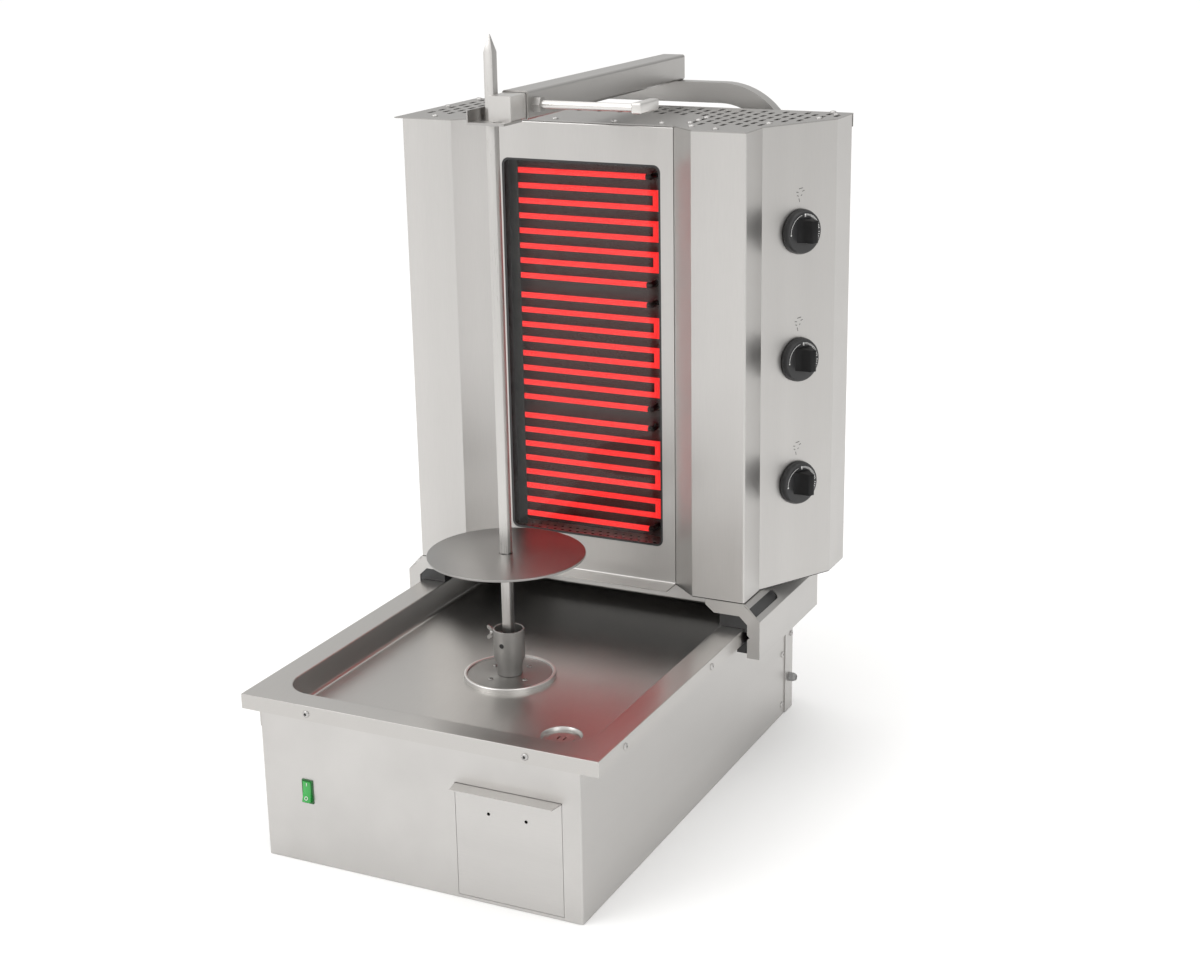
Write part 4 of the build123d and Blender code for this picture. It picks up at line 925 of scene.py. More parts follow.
@dataclass
class Drive:
    """What stands in the basin: bearing plate, socket and wing screw."""

    flange: float = 61 * MM
    rim: float = 5 * MM
    plate: float = 6.4 * MM
    dish: float = 2.4 * MM
    shaft_bore: float = 8.05 * MM
    boss: Pair = (19.5 * MM, 19.0 * MM)
    boss_rise: float = 0.15 * MM
    collar: float = 7 * MM
    sleeve: float = 20.5 * MM
    bore: float = 18.5 * MM
    foot: float = 15.5 * MM
    neck: float = 16.5 * MM
    neck_height: float = 12 * MM
    step: float = 11 * MM
    core_foot: float = 16 * MM
    core: float = 27 * MM
    core_bore: float = 9.4 * MM
    square: float = 6.4 * MM
    hole: float = 3.2 * MM
    hole_z: float = 237 * MM
    screw_z: float = 245.5 * MM
    screw_boss: float = 22 * MM
    shank: float = 3.0 * MM
    thread: float = 1.0 * MM
    wing_gauge: float = 2.0 * MM
    ear: tuple[Pair, ...] = (
        (0.0, 0.6), (3.2, 0.2), (6.0, 2.6), (9.2, 6.0), (10.0, 8.6),
        (8.4, 10.2), (5.6, 9.6), (2.6, 6.4), (0.0, 4.4),
    )  # fmt: skip

    def bearing_plate(self) -> None:
        """Turn the disc, its rounded rim and the collar under it."""
        low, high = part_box("bearing_flange")
        floor, face = high.z - self.plate, high.z - self.dish
        r, w = self.flange, self.rim
        profile = [
            (self.shaft_bore, low.z),
            (self.foot + self.collar, low.z),
            (self.foot + self.collar, floor),
            (r, floor),
            (r, high.z - 1.0 * MM),
            (r - 0.5 * MM, high.z - 0.2 * MM),
            (r - 1.4 * MM, high.z),
            (r - w + 1.4 * MM, high.z),
            (r - w + 0.4 * MM, high.z - 0.5 * MM),
            (r - w, face),
            (self.boss[0], face),
            (self.boss[1], face + self.boss_rise),
            (self.shaft_bore, face + self.boss_rise),
            (self.shaft_bore, low.z),
        ]
        shape = Shape()
        shape.spin(profile, steps=96)
        # The rim's top faces take the lighter copy of the steel, a painted highlight.
        middles = {f: f.calc_center_median() for f in shape.bm.faces}
        shape.paint(f for f, spot in middles.items() if spot.xy.length > r - w and spot.z > floor)
        shape.finish("bearing_plate", [TURNED, RIM_HIGHLIGHT], "base", "turned_steel", ["bearing_flange"], 30.0)

    def socket(self) -> None:
        """Turn the neck and sleeve, and sink the square hole in the core."""
        low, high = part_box("spindle_socket")
        core = low.z + self.core_foot + self.core
        profile = [
            (0, low.z),
            (self.neck - 0.5 * MM, low.z),
            (self.neck, low.z + 0.5 * MM),
            (self.neck, low.z + self.neck_height),
            (self.sleeve, low.z + self.neck_height + self.step),
            (self.sleeve, high.z - 0.7 * MM),
            (self.sleeve - 0.7 * MM, high.z),
            (self.bore + 0.5 * MM, high.z),
            (self.bore, high.z - 0.5 * MM),
            (self.bore, core),
            (self.core_bore, core),
        ]
        shape = Shape()
        shape.spin(profile, steps=72)
        ring = [e for e in shape.bm.edges if e.is_boundary]
        corners = ((-1, -1), (1, -1), (1, 1), (-1, 1))
        square = shape.loop([Vector((x * self.square, y * self.square, core)) for x, y in corners])
        shape.fill(ring + square, UP)
        verts, _ = shape.pull(square)
        bmesh.ops.translate(shape.bm, verts=verts, vec=(0, 0, -self.core))
        shape.finish("spindle_sleeve", [SLEEVE], "spindle", "turned_steel", ["spindle_socket"], 32.0)
        self.cross_hole()

    def cross_hole(self) -> None:
        """Make the drilled hole that faces the front: a short bright edge round a flat disc painted
        near-black as the shade of the bore.
        """
        place = along((0, -self.sleeve, self.hole_z), (0, -1, 0), (1, 0, 0))
        r = self.hole
        edge = [(r + 0.5 * MM, -0.1 * MM), (r + 0.15 * MM, 0.12 * MM), (r, -0.1 * MM), (r, -0.4 * MM)]
        dark = [(0, 0.06 * MM), (r * 0.6, 0.06 * MM), (r, 0.0)]
        # The flat disc's near-black is painted shade of the bore.
        for name, profile, finish in (("edge", edge, TURNED), ("dark", dark, SCREW_SHADE)):
            shape = Shape()
            shape.spin(profile, place, 32)
            shape.finish(f"cross_hole_{name}", [finish], "spindle", "turned_steel")

    def wing_screw(self) -> None:
        """Turn the threaded shank and the boss, and add two rounded wings."""
        low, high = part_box("wing_screw")
        place = along((0, 0, self.screw_z), (-1, 0, 0), (0, 1, 0))
        start, hub, end = -high.x, self.screw_boss, -low.x
        r, pitch = self.shank, self.thread
        profile = [(0.0, start)]
        for k in range(int((hub - start) / pitch)):
            z = start + k * pitch
            profile += [(r - 0.45 * MM, z), (r - 0.02 * MM, z + 0.5 * pitch)]
        profile += [
            (r - 0.4 * MM, hub - 0.3 * MM),
            (4.3 * MM, hub),
            (4.5 * MM, hub + 0.5 * MM),
            (4.2 * MM, hub + 4 * MM),
            (0, hub + 4.4 * MM),
        ]
        shape = Shape()
        shape.spin(profile, place, 24)
        for side in (-1, 1):
            self.wing(shape, side, hub, end)
        shape.finish("wing_screw_turned", [TURNED], "wing_screw", "turned_steel", ["wing_screw"], 40.0)

    def wing(self, shape: Shape, side: int, hub: float, end: float) -> None:
        """Add one wing: a rounded ear that leans outwards.

        Args:
            shape: the screw.
            side: 1 for the upper wing and -1 for the lower one.
            hub: where the boss starts.
            end: where the screw ends.
        """
        points = []
        for across, out in self.ear:
            z = min(hub + out * MM, end)
            points.append(Vector((-z, -self.wing_gauge / 2, self.screw_z + side * across * MM)))
        faces = shape.fill(shape.loop(points), Vector((0, -1, 0)))
        shape.thicken(faces, Vector((0, self.wing_gauge, 0)))

    def build(self) -> None:
        """Make the drive's visible pieces."""
        self.bearing_plate()
        self.socket()
        self.wing_screw()


@dataclass
class Spit:
    """Skewer and meat disc."""

    size: float = 12 * MM
    point: float = 21 * MM
    tip: float = 0.09
    edge: float = 0.45 * MM
    disc_bore: float = 8.6 * MM
    disc_edge: float = 0.7 * MM

    def skewer(self) -> None:
        """Make a square bar with softened edges and a four-sided point."""
        low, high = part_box("skewer")
        shape = Shape()
        bm, half = shape.bm, self.size / 2
        shape.box((-half, -half, low.z), (half, half, high.z - self.point))
        top = [f for f in bm.faces if f.normal.z > 0.5]
        made = bmesh.ops.extrude_face_region(bm, geom=top)["geom"]
        bmesh.ops.delete(bm, geom=top, context="FACES_ONLY")
        for vert in (g for g in made if isinstance(g, BMVert)):
            vert.co.x *= self.tip
            vert.co.y *= self.tip
            vert.co.z = high.z
        upright = [e for e in bm.edges if abs(e.verts[0].co.z - e.verts[1].co.z) > 1 * MM]
        shape.bevel(upright, self.edge, 2)
        shape.finish("skewer_bar", [SPIT], "skewer", "polished_steel", ["skewer"], 30.0)

    def disc(self) -> None:
        """Turn a round plate with a polished edge."""
        low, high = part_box("meat_disc")
        r, e = high.x, self.disc_edge
        profile = [
            (self.disc_bore, low.z),
            (r - e, low.z),
            (r - 0.2 * e, low.z + 0.3 * e),
            (r, low.z + e),
            (r, high.z - e),
            (r - 0.3 * e, high.z - 0.3 * e),
            (r - e, high.z),
            (self.disc_bore, high.z),
            (self.disc_bore, low.z),
        ]
        shape = Shape()
        shape.spin(profile, steps=128)
        shape.finish("meat_disc_polished", [POLISHED], "skewer", "polished_steel", ["meat_disc"], 50.0)

    def build(self) -> None:
        """Make the skewer's pieces."""
        self.skewer()
        self.disc()


@dataclass
class Heaters:
    """Three rods, each bent back and forth in the window, and the strip over their left bends."""

    radius: float = 3.85 * MM
    sides: int = 16
    reach: float = 4.25 * MM
    bars: int = 8
    pitch: float = 20.7 * MM
    right: float = 99.8 * MM
    left: float = -109.5 * MM
    hot: float = 86.5 * MM
    cold: float = 92 * MM
    strip: float = 14.6 * MM
    strip_gauge: float = 1 * MM

    def build(self) -> None:
        """Make the three rods and the strip."""
        for zone in ZONES:
            self.rod(zone)
        self.retainer()

    def retainer(self) -> None:
        """Fold the strip that hides the left bends."""
        low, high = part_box("element_retainer")
        gauge = self.strip_gauge
        shape = Shape()
        shape.box((low.x, high.y - gauge, low.z), (low.x + self.strip, high.y, high.z))
        shape.box((low.x, low.y, low.z), (low.x + gauge, high.y - gauge, high.z))
        # The strip takes the near-black inner steel, which is painted shade.
        shape.finish("retainer_strip", [INNER_SHADED], "tower", "plain_steel", ["element_retainer"], 30.0)

    def route(self, depth: float, rear: float, top: float, bottom: float) -> list[Vector]:
        """Lay out a rod.

        Args:
            depth: where its bars lie, from front to back.
            rear: where its cold ends stop.
            top: the height of its first bar.
            bottom: the height of its last bar.

        Returns:
            Its corners, from one cold end to the other.
        """
        points = [Vector((self.cold, rear, top))]
        for bar in range(self.bars):
            z = top - bar * self.pitch
            right = self.cold if bar in (0, self.bars - 1) else self.right
            ends = [Vector((right, depth, z)), Vector((self.left, depth, z))]
            points += ends if bar % 2 == 0 else ends[::-1]
        points.insert(2, Vector((self.hot, depth, top)))
        points.insert(-1, Vector((self.hot, depth, bottom)))
        points.append(Vector((self.cold, rear, bottom)))
        return points

    def rod(self, zone: str) -> None:
        """Push a round section along one zone's route and turn it at each corner.

        Args:
            zone: the zone.
        """
        low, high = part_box(f"element_{zone}")
        top = high.z - self.reach
        bottom = top - (self.bars - 1) * self.pitch
        route = self.route(low.y + self.reach, high.y, top, bottom)
        shape = Shape()
        bm = shape.bm
        place = along(route[0], (route[1] - route[0]).normalized(), (1, 0, 0))
        ring = bmesh.ops.create_circle(
            bm, cap_ends=False, radius=self.radius, segments=self.sides, matrix=place
        )["verts"]
        edges = list({e for v in ring for e in v.link_edges})
        for before, corner, after in zip(route, route[1:], route[2:]):
            edges = self.mitre(shape, edges, before, corner, after)
        verts, _ = shape.pull(edges)
        centre = sum((v.co for v in verts), Vector()) / len(verts)
        bmesh.ops.translate(bm, verts=verts, vec=route[-1] - centre)
        bmesh.ops.holes_fill(bm, edges=[e for e in bm.edges if e.is_boundary], sides=0)
        for face in bm.faces:
            middle = face.calc_center_median()
            if middle.x > self.hot and min(abs(middle.z - top), abs(middle.z - bottom)) < self.reach:
                shape.paint([face])
        shape.finish(f"heater_rod_{zone}", [GLOW, COLD], "tower", "heater_glow", [f"element_{zone}"], 50.0)

    def mitre(
        self, shape: Shape, edges: list[BMEdge], before: Vector, corner: Vector, after: Vector
    ) -> list[BMEdge]:
        """Draw the section on to a corner and end it on the plane that halves the corner.

        Args:
            shape: the rod.
            edges: the section's edges.
            before: the corner that the section stands at.
            corner: the corner that it goes to.
            after: the one that follows.

        Returns:
            The section's edges at the corner.
        """
        into = (corner - before).normalized()
        half = into + (after - corner).normalized()
        verts, edges = shape.pull(edges)
        for vert in verts:
            vert.co += into * (corner - vert.co).dot(half) / into.dot(half)
        return edges


@dataclass
class TopCover:
    """The vented lid of the tower."""

    half: float = 3.0 * MM
    end: float = 9.5 * MM
    pitch_x: float = 15.5 * MM
    pitch_y: float = 29.0 * MM
    gauge: float = 1.5 * MM
    panel_half: float = 136 * MM
    wing_x: float = 174.7 * MM
    recess: float = 33.3 * MM
    cheek: float = 59.6 * MM
    splay_length: float = 125 * MM
    lip: float = 18 * MM
    margin: float = 9 * MM
    left_margin: float = 18 * MM
    rear_margin: float = 12 * MM
    front_margin: float = 48 * MM
    band: float = 86 * MM

    def outline(self, low: Vector, high: Vector) -> list[Pair]:
        """Work out the lid's corners.

        Args:
            low: the lid's lowest corner.
            high: its highest corner.

        Returns:
            The corners, seen from above.
        """
        front = low.y
        start = front + self.cheek
        return [
            (-self.panel_half, front + self.recess),
            (self.panel_half, front + self.recess),
            (self.wing_x, front),
            (CHEEK_X, front),
            (CHEEK_X, start),
            (high.x, start + self.splay_length * cos(SPLAY)),
            (high.x, high.y),
            (low.x, high.y),
            (low.x, front),
            (-self.wing_x, front),
        ]

    def slots(self, low: Vector, high: Vector) -> list[Pair]:
        """Lay out the vents: staggered columns, short ones in the middle band.

        Args:
            low: the lid's lowest corner.
            high: its highest corner.

        Returns:
            Their centres.
        """
        centres = []
        rear = high.y - 2 * self.gauge - self.rear_margin
        columns = int((high.x - self.margin) / self.pitch_x)
        for column in range(-columns, columns + 1):
            x = (column + 0.5) * self.pitch_x
            if x < low.x + self.left_margin or x > high.x - self.margin:
                continue
            front = rear - self.band if abs(x) < self.panel_half else low.y + self.front_margin
            edge = low.y + self.cheek + (x + self.margin - CHEEK_X) / tan(SPLAY) + self.margin
            y = rear - self.end - (column % 2) * self.pitch_y / 2
            while y - self.end > max(front, edge):
                centres.append((x, y))
                y -= self.pitch_y
        return centres

    def build(self) -> None:
        """Cut the vents and bend the rear lip."""
        low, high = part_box("top_cover")
        top = high.z
        shape = Shape()
        loops = shape.loop([Vector((x, y, top)) for x, y in self.outline(low, high)])
        for x, y in self.slots(low, high):
            loops += shape.loop(obround(x, y, top, self.half, self.end))
        shape.thicken(shape.fill(loops, UP), Vector((0, 0, -self.gauge)))
        shape.box((low.x, high.y - self.gauge, top - self.lip), (high.x, high.y, top - 0.2 * MM))
        even(shape.finish("vented_lid", [COVER], "tower", "cover_sheet", ["top_cover"], 30.0))


@dataclass
class Screws:
    """Domed screws with a round recess whose near-black floor is painted shade, on the places of the plain
    heads.
    """

    radius: float = 4.8 * MM
    height: float = 2.4 * MM
    flat: float = 1e-5
    recess: float = 0.34
    dome: tuple[Pair, ...] = (
        (1.0, 0.0), (1.0, 0.25), (0.92, 0.55), (0.72, 0.82), (0.42, 1.0), (0.36, 0.45), (0.0, 0.45)
    )  # fmt: skip

    def head(self, shape: Shape, place: Matrix, radius: float) -> None:
        """Add one domed head.

        Args:
            shape: the heads made so far.
            place: where it stands.
            radius: its radius.
        """
        height = self.height * radius / self.radius
        before = set(shape.bm.faces)
        shape.spin([(r * radius, h * height) for r, h in self.dome], place, 20)
        inward = place.inverted()
        # Faces in the recess take the second material, near-black painted shade.
        for face in set(shape.bm.faces) - before:
            if (inward @ face.calc_center_median()).xy.length < self.recess * radius:
                shape.paint([face])

    def groups(self, bm: BMesh) -> list[list[BMVert]]:
        """Sort a mesh into its loose pieces.

        Args:
            bm: the mesh.

        Returns:
            The vertices of each piece.
        """
        found, seen = [], set()
        for start in bm.verts:
            if start in seen:
                continue
            group, queue = [], [start]
            seen.add(start)
            while queue:
                vert = queue.pop()
                group.append(vert)
                for other in (edge.other_vert(vert) for edge in vert.link_edges):
                    if other not in seen:
                        seen.add(other)
                        queue.append(other)
            found.append(group)
        return found

    def stance(self, group: Sequence[BMVert]) -> tuple[Vector, Vector]:
        """Find how a plain head stands: it is flattest along its axis and widest at its foot.

        Args:
            group: its vertices.

        Returns:
            The middle of its foot, and its outward way.
        """
        low, high = (Vector([end(v.co[i] for v in group) for i in range(3)]) for end in (min, max))
        size = high - low
        axis = min(range(3), key=lambda i: size[i])
        side = (axis + 1) % 3
        foot = (low + high) / 2
        wide, narrow = (
            sum(abs(v.co[side] - foot[side]) for v in group if abs(v.co[axis] - level[axis]) < self.flat)
            for level in (low, high)
        )
        way = Vector((0, 0, 0))
        way[axis] = 1.0 if wide >= narrow else -1.0
        foot[axis] = low[axis] if way[axis] > 0 else high[axis]
        return foot, way

    def dress(self, node: str, body: str, name: str, finish: Finish, radius: float) -> None:
        """Replace one node of plain heads.

        Args:
            node: the node.
            body: the body that it moves with.
            name: the new piece's name.
            finish: the heads' finish.
            radius: their radius.
        """
        plain = bmesh.new()
        plain.from_mesh(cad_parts[node].data)
        bmesh.ops.remove_doubles(plain, verts=plain.verts[:], dist=MERGE)
        shape = Shape()
        for foot, way in map(self.stance, self.groups(plain)):
            level = Vector((1, 0, 0)) if abs(way.x) < 0.5 else Vector((0, 1, 0))
            self.head(shape, along(foot, way, level), radius)
        plain.free()
        shape.finish(name, [finish, SCREW_SHADE], body, "screw_steel", [node], 50.0)

    def build(self) -> None:
        """Dress the three sets of heads."""
        self.dress("casing_screws", "base", "casing_screw_heads", SCREW, 4.6 * MM)
        self.dress("cover_screws", "tower", "lid_screw_heads", SCREW, 4.6 * MM)
        self.dress("drive_screws", "base", "drive_screw_heads", TURNED, 3.6 * MM)


@dataclass
class Knob:
    """A control knob with its dial marks, and the faint sign above it."""

    radius: float = 30 * MM
    face_radius: float = 27 * MM
    gap: float = 1.0 * MM
    face: float = 11 * MM
    height: float = 32 * MM
    waist: float = 20.5 * MM
    shaft: float = 2.95 * MM
    shaft_end: float = -15 * MM
    panel_y: float = 261.3 * MM
    along_panel: float = 62.5 * MM
    dial: float = 24.8 * MM
    mark: float = 0.12 * MM
    sign_height: float = 48 * MM
    sign_lift: float = 0.1 * MM
    sign_scale: float = 1.45
    stroke: float = 0.42 * MM
    strokes: tuple[tuple[float, float, float, float], ...] = (
        (-1.6, 5.6, 3.0, 6.2),
        (2.4, 3.0, 5.0, 3.8),
        (-4.6, 2.9, -2.0, 2.4),
        (-3.8, -0.2, -1.8, -1.0),
        (0.8, -0.8, 2.2, 0.2),
        (-1.5, -3.0, -0.7, -6.4),
    )

    def place(self, node: str) -> Matrix:
        """Find the knob's place on the control panel.

        Args:
            node: the knob's solid.

        Returns:
            The place, looking straight out of the panel.
        """
        low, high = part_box(node)
        x = CHEEK_X + self.along_panel * sin(SPLAY)
        y = self.panel_y + self.along_panel * cos(SPLAY)
        return along((x, y, (low.z + high.z) / 2), (cos(SPLAY), -sin(SPLAY), 0), (sin(SPLAY), cos(SPLAY), 0))

    def moulding(self, name: str) -> None:
        """Turn the skirt and the shaft, and add the grip.

        Args:
            name: the knob's node.
        """
        place = self.place(name)
        r, f, face, gap = self.radius, self.face_radius, self.face, self.gap
        skirt = [
            (0, gap),
            (r - 0.6 * MM, gap),
            (r, gap + 0.7 * MM),
            (r - 0.4 * MM, gap + 4.5 * MM),
            (f + 0.9 * MM, face - 1.1 * MM),
            (f, face - 0.2 * MM),
            (f - 0.9 * MM, face),
            (16 * MM, face),
            (0, face),
        ]
        shape = Shape()
        shape.spin(skirt, place, 96)
        end, shaft = self.shaft_end, self.shaft
        shape.spin([(0, end), (shaft, end), (shaft, gap), (0, gap)], place, 16)
        turned = set(shape.bm.faces)
        self.grip(shape, place)
        shape.paint(set(shape.bm.faces) - turned)
        shape.finish(f"{name}_moulded", [KNOB, GRIP], name, "knob_black", [name], 38.0)

    def grip(self, shape: Shape, place: Matrix) -> None:
        """Add the bar across the face: a waisted section with rounded edges.

        Args:
            shape: the knob.
            place: where it stands.
        """
        bm = shape.bm
        rows = (
            (self.face - 0.5 * MM, 14.5, 18.5, 12.5),
            (self.face + 2 * MM, 12.0, 18.5, 12.5),
            (self.waist, 8.0, 18.3, 12.3),
            (self.height, 4.7, 17.8, 11.8),
        )
        rings = []
        for z, half, up, down in rows:
            corners = ((-half, -down), (half, -down), (half, up), (-half, up))
            rings.append([bm.verts.new(place @ Vector((x * MM, y * MM, z))) for x, y in corners])
        uprights = []
        for lower, upper in zip(rings, rings[1:]):
            for k in range(4):
                bm.faces.new((lower[k], lower[(k + 1) % 4], upper[(k + 1) % 4], upper[k]))
                uprights.append((lower[k], upper[k]))
        top = rings[-1]
        bm.faces.new(top)
        edges = [bm.edges.get(pair) for pair in uprights + list(zip(top, top[1:] + top[:1]))]
        shape.bevel([e for e in edges if e], 1.3 * MM, 3)

    def arc(self, shape: Shape, place: Matrix, start: float, end: float, inner: float, outer: float) -> None:
        """Add a thin mark to the face.

        Args:
            shape: the marks made so far.
            place: where the knob stands.
            start: the angle at which it starts, clockwise from the top.
            end: the angle at which it ends.
            inner: its inner radius.
            outer: its outer radius.
        """
        z = self.face + self.mark
        points = [place @ Vector((r * sin(start), r * cos(start), z)) for r in (inner, outer)]
        steps = max(2, int(abs(end - start) / 0.08))
        shape.sweep(points, place, -(end - start), steps, False)

    def marks(self, name: str) -> None:
        """Print the white dial: an off mark, a thin line and a widening row of ticks.

        Args:
            name: the knob's node.
        """
        place, dial = self.place(name), self.dial
        shape = Shape()
        rows = [
            (radians(-3), radians(3), 20.5 * MM, 25.0 * MM),
            (radians(-92), radians(-14), 23.6 * MM, 24.1 * MM),
            (radians(-96), radians(-92), 22.8 * MM, dial),
        ]
        for k in range(16):
            start = radians(6 + 4.9 * k)
            rows.append((start, start + radians(2.2), dial - (2.6 + 0.08 * k) * MM, dial))
        for k in range(4):
            start = radians(92 + 7 * k)
            rows.append((start, start + radians(2.5), 23.2 * MM, dial))
        for row in rows:
            self.arc(shape, place, *row)
        ink(shape.finish(f"{name}_marks", [MARK], name, "knob_black"), self.mark)

    def sign(self, name: str) -> None:
        """Print a faint generic sign above the knob: the dashed outline of a cone of meat.

        Args:
            name: the knob's node.
        """
        lift = Matrix.Translation((0, self.sign_height, self.sign_lift))
        place = self.place(name) @ lift @ Matrix.Scale(self.sign_scale, 4)
        shape = Shape()
        for x0, y0, x1, y1 in self.strokes:
            a, b = Vector((x0, y0, 0)) * MM, Vector((x1, y1, 0)) * MM
            across = (b - a).normalized().cross(UP) * self.stroke
            corners = [a - across, b - across, b + across, a + across]
            shape.bm.faces.new([shape.bm.verts.new(place @ c) for c in corners])
        shape.finish(f"{name}_sign", [SIGN], "tower", "brushed_sheet")

    def build(self) -> None:
        """Make all three knobs."""
        for zone in ZONES:
            name = f"knob_{zone}"
            self.moulding(name)
            self.marks(name)
            self.sign(name)


@dataclass
class Switch:
    """The green rocker with its O and I marks."""

    width: float = 11.5 * MM
    half: float = 13.6 * MM
    reach: float = 5.0 * MM
    dip: float = 2.04 * MM
    belly: float = 0.62
    back: float = -7 * MM
    tilt: float = radians(-9)
    centre: Triple = (-159 * MM, -247 * MM, 100 * MM)

    def place(self) -> Matrix:
        """The rocker's place: X up, Y out of the panel, turned to its pressed position."""
        turn = along(self.centre, (1, 0, 0), (0, 0, 1))
        return turn @ Matrix.Rotation(self.tilt, 4, "Z")

    def rocker(self) -> None:
        """Make the V-faced rocker with rounded edges."""
        place = self.place()
        h, r, back = self.half, self.reach, self.back
        knee = r - self.dip * self.belly
        outline = [
            (-h, 0),
            (-h, r),
            (-h * 0.5, knee),
            (0, r - self.dip),
            (h * 0.5, knee),
            (h, r),
            (h, 0),
            (h * 0.55, back),
            (-h * 0.55, back),
        ]
        shape = Shape()
        edges = shape.loop([place @ Vector((x, y, -self.width / 2)) for x, y in outline])
        way = (place.to_3x3() @ UP).normalized()
        shape.thicken(shape.fill(edges, -way), way * self.width)
        sharp = [e for e in shape.bm.edges if len(e.link_faces) == 2 and e.calc_face_angle(0) > 0.5]
        shape.bevel(sharp, 0.5 * MM, 2)
        shape.finish("rocker_lens", [GREEN], "rocker", "switch_green", ["rocker"], 40.0)

    def marks(self) -> None:
        """Print an I at the top and an O at the bottom, in white."""
        h, r, dip = self.half, self.reach, self.dip
        slope = atan(dip * self.belly / (h * 0.5))
        upper, lower = (
            self.place() @ Matrix.Translation((x, y, 0)) @ Matrix.Rotation(turn, 4, "Z")
            for x, y, turn in ((h * 0.72, r - dip * 0.34, slope), (-h * 0.62, r - dip * 0.46, -slope))
        )
        shape = Shape()
        middle, size = upper @ Vector((0, 0.05 * MM, 0)), upper.to_3x3()
        x, z = 4.6 * MM / 2, 0.9 * MM / 2
        corners = [middle + size @ Vector((a, 0.1 * MM, b)) for a, b in ((-x, -z), (x, -z), (x, z), (-x, z))]
        shape.bm.faces.new([shape.bm.verts.new(p) for p in corners])
        ring = []
        for radius in (1.7 * MM, 2.5 * MM):
            ring += shape.loop([lower @ Vector((p.x, 0.22 * MM, p.y)) for p in circle((0, 0, 0), radius, 20)])
        shape.fill(ring, (lower.to_3x3() @ Vector((0, 1, 0))).normalized())
        ink(shape.finish("rocker_marks", [MARK], "rocker", "switch_green"), 0.15 * MM)

    def build(self) -> None:
        """Make the rocker and its marks."""
        self.rocker()
        self.marks()


@dataclass
class Clamp:
    """The lever that holds the arm's bar."""

    rod: float = 5 * MM
    grip: float = 13 * MM
    grip_round: float = 2.4 * MM
    lever_y: float = 34 * MM

    def build(self) -> None:
        """Make the rod, and a rounded grip across its end."""
        low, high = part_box("clamp_lever")
        z = (low.z + high.z) / 2
        half = self.grip / 2
        grip_x = high.x - half
        length, r = grip_x - low.x, self.rod
        shape = Shape()
        place = along((low.x, self.lever_y, z), (1, 0, 0), (0, 1, 0))
        shape.spin([(0, 0), (r - 0.6 * MM, 0), (r, 0.6 * MM), (r, length), (0, length)], place, 32)
        before = set(shape.bm.faces)
        shape.box((grip_x - half, low.y, z - half), (grip_x + half, high.y, z + half))
        block = [f for f in shape.bm.faces if f not in before]
        shape.bevel({e for f in block for e in f.edges}, self.grip_round, 4)
        shape.finish("clamp_handle", [ROD], "clamp_lever", "turned_steel", ["clamp_lever"], 40.0)


@dataclass
class HeaterTray:
    """The dark tray behind the window: perforated ledge and a gasket round the glass."""

    margin: float = 9 * MM
    hole: float = 2.75 * MM
    pitch: float = 11.9 * MM
    row: float = 12.6 * MM
    depth: float = 34 * MM
    ledge_gauge: float = 0.5 * MM
    window_half: float = 117 * MM
    window_corner: float = 10 * MM
    least_corner: float = 4 * MM
    seal_width: float = 3.2 * MM
    seal_gauge: float = 0.9 * MM

    def ledge(self) -> None:
        """Punch two rows of holes in the plate over the tray's floor."""
        low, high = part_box("heater_tray")
        half = (high.x - low.x) / 2 - self.margin
        front, back = low.y + 0.3 * MM, low.y + self.depth
        top = low.z + self.margin + 0.4 * MM
        corners = ((-half, front), (half, front), (half, back), (-half, back))
        shape = Shape()
        loops = shape.loop([Vector((x, y, top)) for x, y in corners])
        count = int(2 * half / self.pitch) - 1
        for line in (0, 1):
            y = low.y + self.margin + line * self.row
            for step in range(count):
                x = (step - count / 2 + 0.25 + 0.5 * line) * self.pitch
                loops += shape.loop(circle((x, y, top), self.hole, 12))
        shape.thicken(shape.fill(loops, UP), Vector((0, 0, -self.ledge_gauge)))
        shape.finish("ledge_plate", [MILL], "tower", "plain_steel", smooth=30.0)

    def gasket(self) -> None:
        """Lay the black seal that shows as a thin line between the glass and the panel."""
        low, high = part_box("window_glass")
        y = low.y - 0.05 * MM
        shape = Shape()
        rings = []
        for inset in (0.0, self.seal_width):
            corner = max(self.window_corner - inset, self.least_corner)
            bottom, top = low.z + self.margin + inset, high.z - self.margin - inset
            points = rounded(self.window_half - inset, bottom, top, corner, 6)
            rings += shape.loop([Vector((x, y, z)) for x, z in points])
        faces = shape.fill(rings, Vector((0, -1, 0)))
        shape.thicken(faces, Vector((0, -self.seal_gauge, 0)))
        shape.finish("window_seal", [BLACK], "tower", "black_plastic", smooth=30.0)

    def build(self) -> None:
        """Make the ledge plate and the gasket."""
        self.ledge()
        self.gasket()


# Finishes of the plain solids


CAD_FINISHES: dict[str, Finish] = {
    name: finish
    for finish, names in (
        (SHEET, ("rear_cover", "front_panel", "wing_left", "wing_right", "left_side_panel")),
        (SHEET, ("control_panel", "tower_rear_panel")),
        (SHEET_SIDE, ("base_casing", "carriage_left", "carriage_right")),
        (SHEET_FRONT, ("drawer_front",)),
        (PAN, ("drawer_tray",)),
        (MILL, ("base_plate", "drawer_guides", "window_clips", "motor_bracket")),
        # Inside the tower: near-black steel that is painted shade.
        (INNER_SHADED, ("tower_floor", "heater_tray", "reflector_plate", "element_retainer")),
        (FRAME, ("rear_frame",)),
        (BAR, ("arm_tube", "spit_bracket")),
        (BLOCK, ("arm_bar",)),
        (TURNED, ("frame_spacers", "clamp_nut", "disc_collar", "drive_shaft")),
        (SCREW, ("frame_bolts", "collar_screw")),
        # The glide blocks' black is partly their plastic and partly painted shade for the dark openings in
        # the carriage.
        (BLACK, ("glide_blocks", "regulators", "terminal_block")),
        (GLASS, ("window_glass",)),
        (BOARD, ("insulation_pad",)),
        (CAST, ("gearbox",)),
        (MOTOR, ("drive_motor",)),
        (GREY, ("cable_gland",)),
        (GREEN_DARK, ("switch_housing",)),
    )
    for name in names
}


